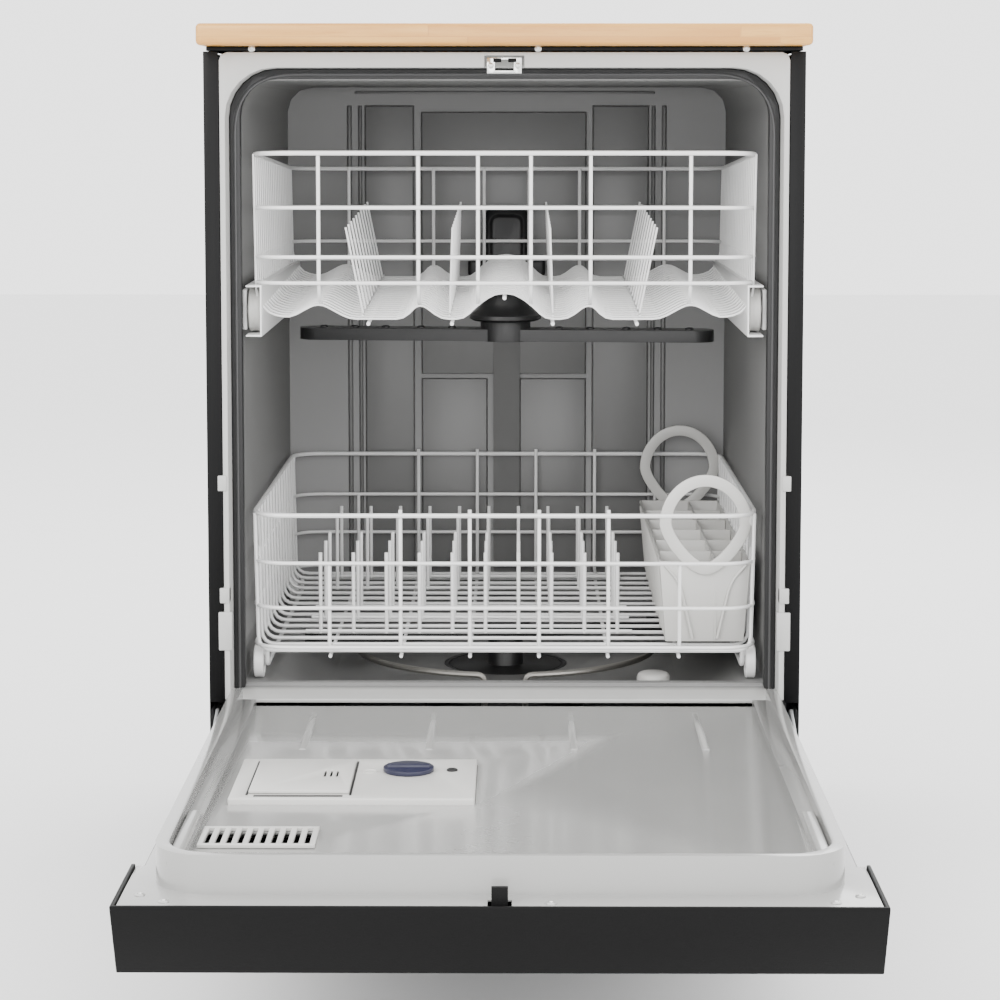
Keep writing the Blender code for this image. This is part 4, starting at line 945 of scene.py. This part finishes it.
CROSS_GAPS = 14
CARRIER_X, CARRIER_Z, CARRIER_RADIUS = 0.24975, 0.2570, 0.0025
runs = []
for k in range(CROSS_GAPS + 1):
    y = front + 0.020 + (back - front - 0.040) * k / CROSS_GAPS
    cross = [(left + 0.001, y, bars[0]), (left + 0.004, y, floor_top), (right - 0.004, y, floor_top),
             (right - 0.001, y, bars[0])]
    runs.append((bent(cross, 0.016), WIRE, False))
under = floor_top - 2 * WIRE
for x in sorted(UPRIGHTS_X + SHORT_UPRIGHTS_X):
    runs.append(([(x, front + 0.010, under), (x, back - 0.010, under)], WIRE, False))
for x in (-CARRIER_X, CARRIER_X):
    carrier = [(x, front + 0.030, floor_top - WIRE), (x, front + 0.032, CARRIER_Z),
               (x, back - 0.032, CARRIER_Z), (x, back - 0.030, floor_top - WIRE)]
    runs.append((bent(carrier, 0.012), CARRIER_RADIUS, False))
fit(wires("lower_basket_floor", runs), "lower_rack", "white_nylon", nylon, "lower_rack_floor")

PLATE_ROWS_Y = (0.183, 0.264, 0.328, 0.4516, 0.531)
PLATE_START, PLATE_PITCH, PLATE_TOP = -0.199, 0.0356, 0.364
PLATE_BAR_ENDS = (-0.215, 0.137)
runs = []
for y in PLATE_ROWS_Y:
    for k in range(10):
        x = PLATE_START + PLATE_PITCH * k
        tine = [(x, y, floor_top + WIRE), (x, y, PLATE_TOP - 0.009), (x, y + 0.001, PLATE_TOP)]
        runs.append((bent(tine, 0.003), WIRE, False))
    runs.append(([(x, y, floor_top + 2 * WIRE) for x in PLATE_BAR_ENDS], WIRE, False))
fit(wires("lower_basket_tines", runs), "lower_rack", "white_nylon", nylon, "lower_rack_tines")
for corner in CORNERS:
    node = "rack_wheel_" + corner
    low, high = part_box(node)
    middle = (low + high) / 2
    radius, half = (high.z - low.z) / 2, (high.x - low.x) / 2
    wheel = turned(
        node + "_tyre",
        middle,
        [(-half, radius * 0.35), (-half * 0.6, radius * 0.38), (-half * 0.5, radius * 0.74),
         (-half, radius * 0.80), (-half, radius * 0.95), (-half * 0.8, radius), (half * 0.8, radius),
         (half, radius * 0.95), (half, radius * 0.80), (half * 0.5, radius * 0.74),
         (half * 0.6, radius * 0.38), (half, radius * 0.35)],
        SIDEWAYS,
        36,
    )
    fit(wheel, node, "light_grey_plastic", nylon, node)

# ---------------------------------------------------------------- cutlery basket
# A light grey moulded basket down the rack's right side, split into cells by thin walls, with close ribs on
# its long sides and a flat ring handle at each end.

low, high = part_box("cutlery_basket")
RIM_DROP = 0.092
rim_z = high.z - RIM_DROP
front_y, back_y = low.y + 0.0035, high.y - 0.0035
centre_x = (low.x + high.x) / 2
foot_centre = (centre_x, (front_y + back_y) / 2, low.z)
WALL = 0.0022
DIVIDER_HALF = 0.001
CELLS = 6
SIDE_RIBS = 44
shell = block("holder", (low.x, front_y, low.z), (high.x, back_y, rim_z))
edit(shell, "FACE", lambda face: face.normal.z < -0.9)
bpy.ops.transform.resize(value=(0.86, 0.985, 1), center_override=foot_centre)
edit(shell, "FACE", lambda face: face.normal.z > 0.9)
bpy.ops.mesh.inset(thickness=WALL)
bpy.ops.mesh.extrude_region_move(TRANSFORM_OT_translate={"value": (0, 0, low.z + 0.003 - rim_z)})
bpy.ops.transform.resize(value=(0.87, 0.986, 1), center_override=foot_centre)
close(shell)
parts = [rounded(shell, 0.0008)]
middle_x = low.x + 0.059
divider = block("rib", (middle_x - DIVIDER_HALF, front_y + 0.001, low.z + 0.002),
                (middle_x + DIVIDER_HALF, back_y - 0.001, rim_z - 0.001))
parts.append(rounded(divider, 0.0004))
for k in range(1, CELLS):
    y = front_y + (back_y - front_y) * k / CELLS
    divider = block("rib", (low.x + 0.004, y - DIVIDER_HALF, low.z + 0.002),
                    (high.x - 0.004, y + DIVIDER_HALF, rim_z - 0.0012))
    parts.append(rounded(divider, 0.0004))
for side, x in ((-1, low.x), (1, high.x)):
    for k in range(SIDE_RIBS):
        y = front_y + 0.014 + (back_y - front_y - 0.028) * k / (SIDE_RIBS - 1)
        rib = [(x - side * 0.0062, y, low.z + 0.006), (x + side * 0.0002, y, rim_z - 0.005)]
        parts.append(wires("rib", [(rib, 0.0012, False)], 6))
for y in (front_y, back_y):
    for side in (-1, 1):
        curve = [(centre_x + side * 0.043, y, rim_z - 0.004), (centre_x + side * 0.027, y, rim_z - 0.022),
                 (centre_x + side * 0.013, y, low.z + 0.004)]
        parts.append(wires("rib", [(bent(curve, 0.030, 8), 0.0016, False)], 8))
for near, far in ((front_y - 0.0008, front_y + WALL), (back_y - WALL, back_y + 0.0008)):
    edge = block("lip", (low.x - 0.0005, near, rim_z - 0.004), (high.x + 0.0005, far, rim_z))
    parts.append(rounded(edge, 0.0007))
RING_HALF_WIDTH, RING_HALF_HEIGHT, RING_BAND, RING_THICK = 0.0485, 0.053, 0.0125, 0.0034


def egg_ring(y):
    """A flat ring handle, round at the top and narrower where it runs into the plate below."""
    bpy.ops.object.select_all(action="DESELECT")
    bpy.ops.mesh.primitive_circle_add(
        vertices=56, radius=1, fill_type="NGON", rotation=(math.radians(90), 0, 0)
    )
    bpy.ops.object.transform_apply()
    ring = bpy.context.object
    centre_z = high.z - RING_HALF_HEIGHT
    for corner in ring.data.vertices:
        x, z = corner.co.x, corner.co.z
        narrow = 1 - 0.34 * max(0.0, -z) ** 1.2
        corner.co = (centre_x + x * RING_HALF_WIDTH * narrow, y, centre_z + z * RING_HALF_HEIGHT)
    edit(ring, "FACE", lambda face: True)
    bpy.ops.mesh.inset(thickness=RING_BAND)
    bpy.ops.mesh.delete(type="FACE")
    bpy.ops.mesh.select_all(action="SELECT")
    bpy.ops.mesh.extrude_region_move(TRANSFORM_OT_translate={"value": (0, RING_THICK, 0)})
    bpy.ops.mesh.select_all(action="SELECT")
    bpy.ops.mesh.normals_make_consistent(inside=False)
    close(ring)
    return rounded(ring, 0.0009, 2, 50)


parts.append(egg_ring(front_y - 0.0030))
parts.append(egg_ring(back_y - 0.0004))
fit(joined("cutlery_holder", parts), "lower_rack", "light_grey_plastic", grey_plastic, "cutlery_basket")

bpy.context.view_layer.update()
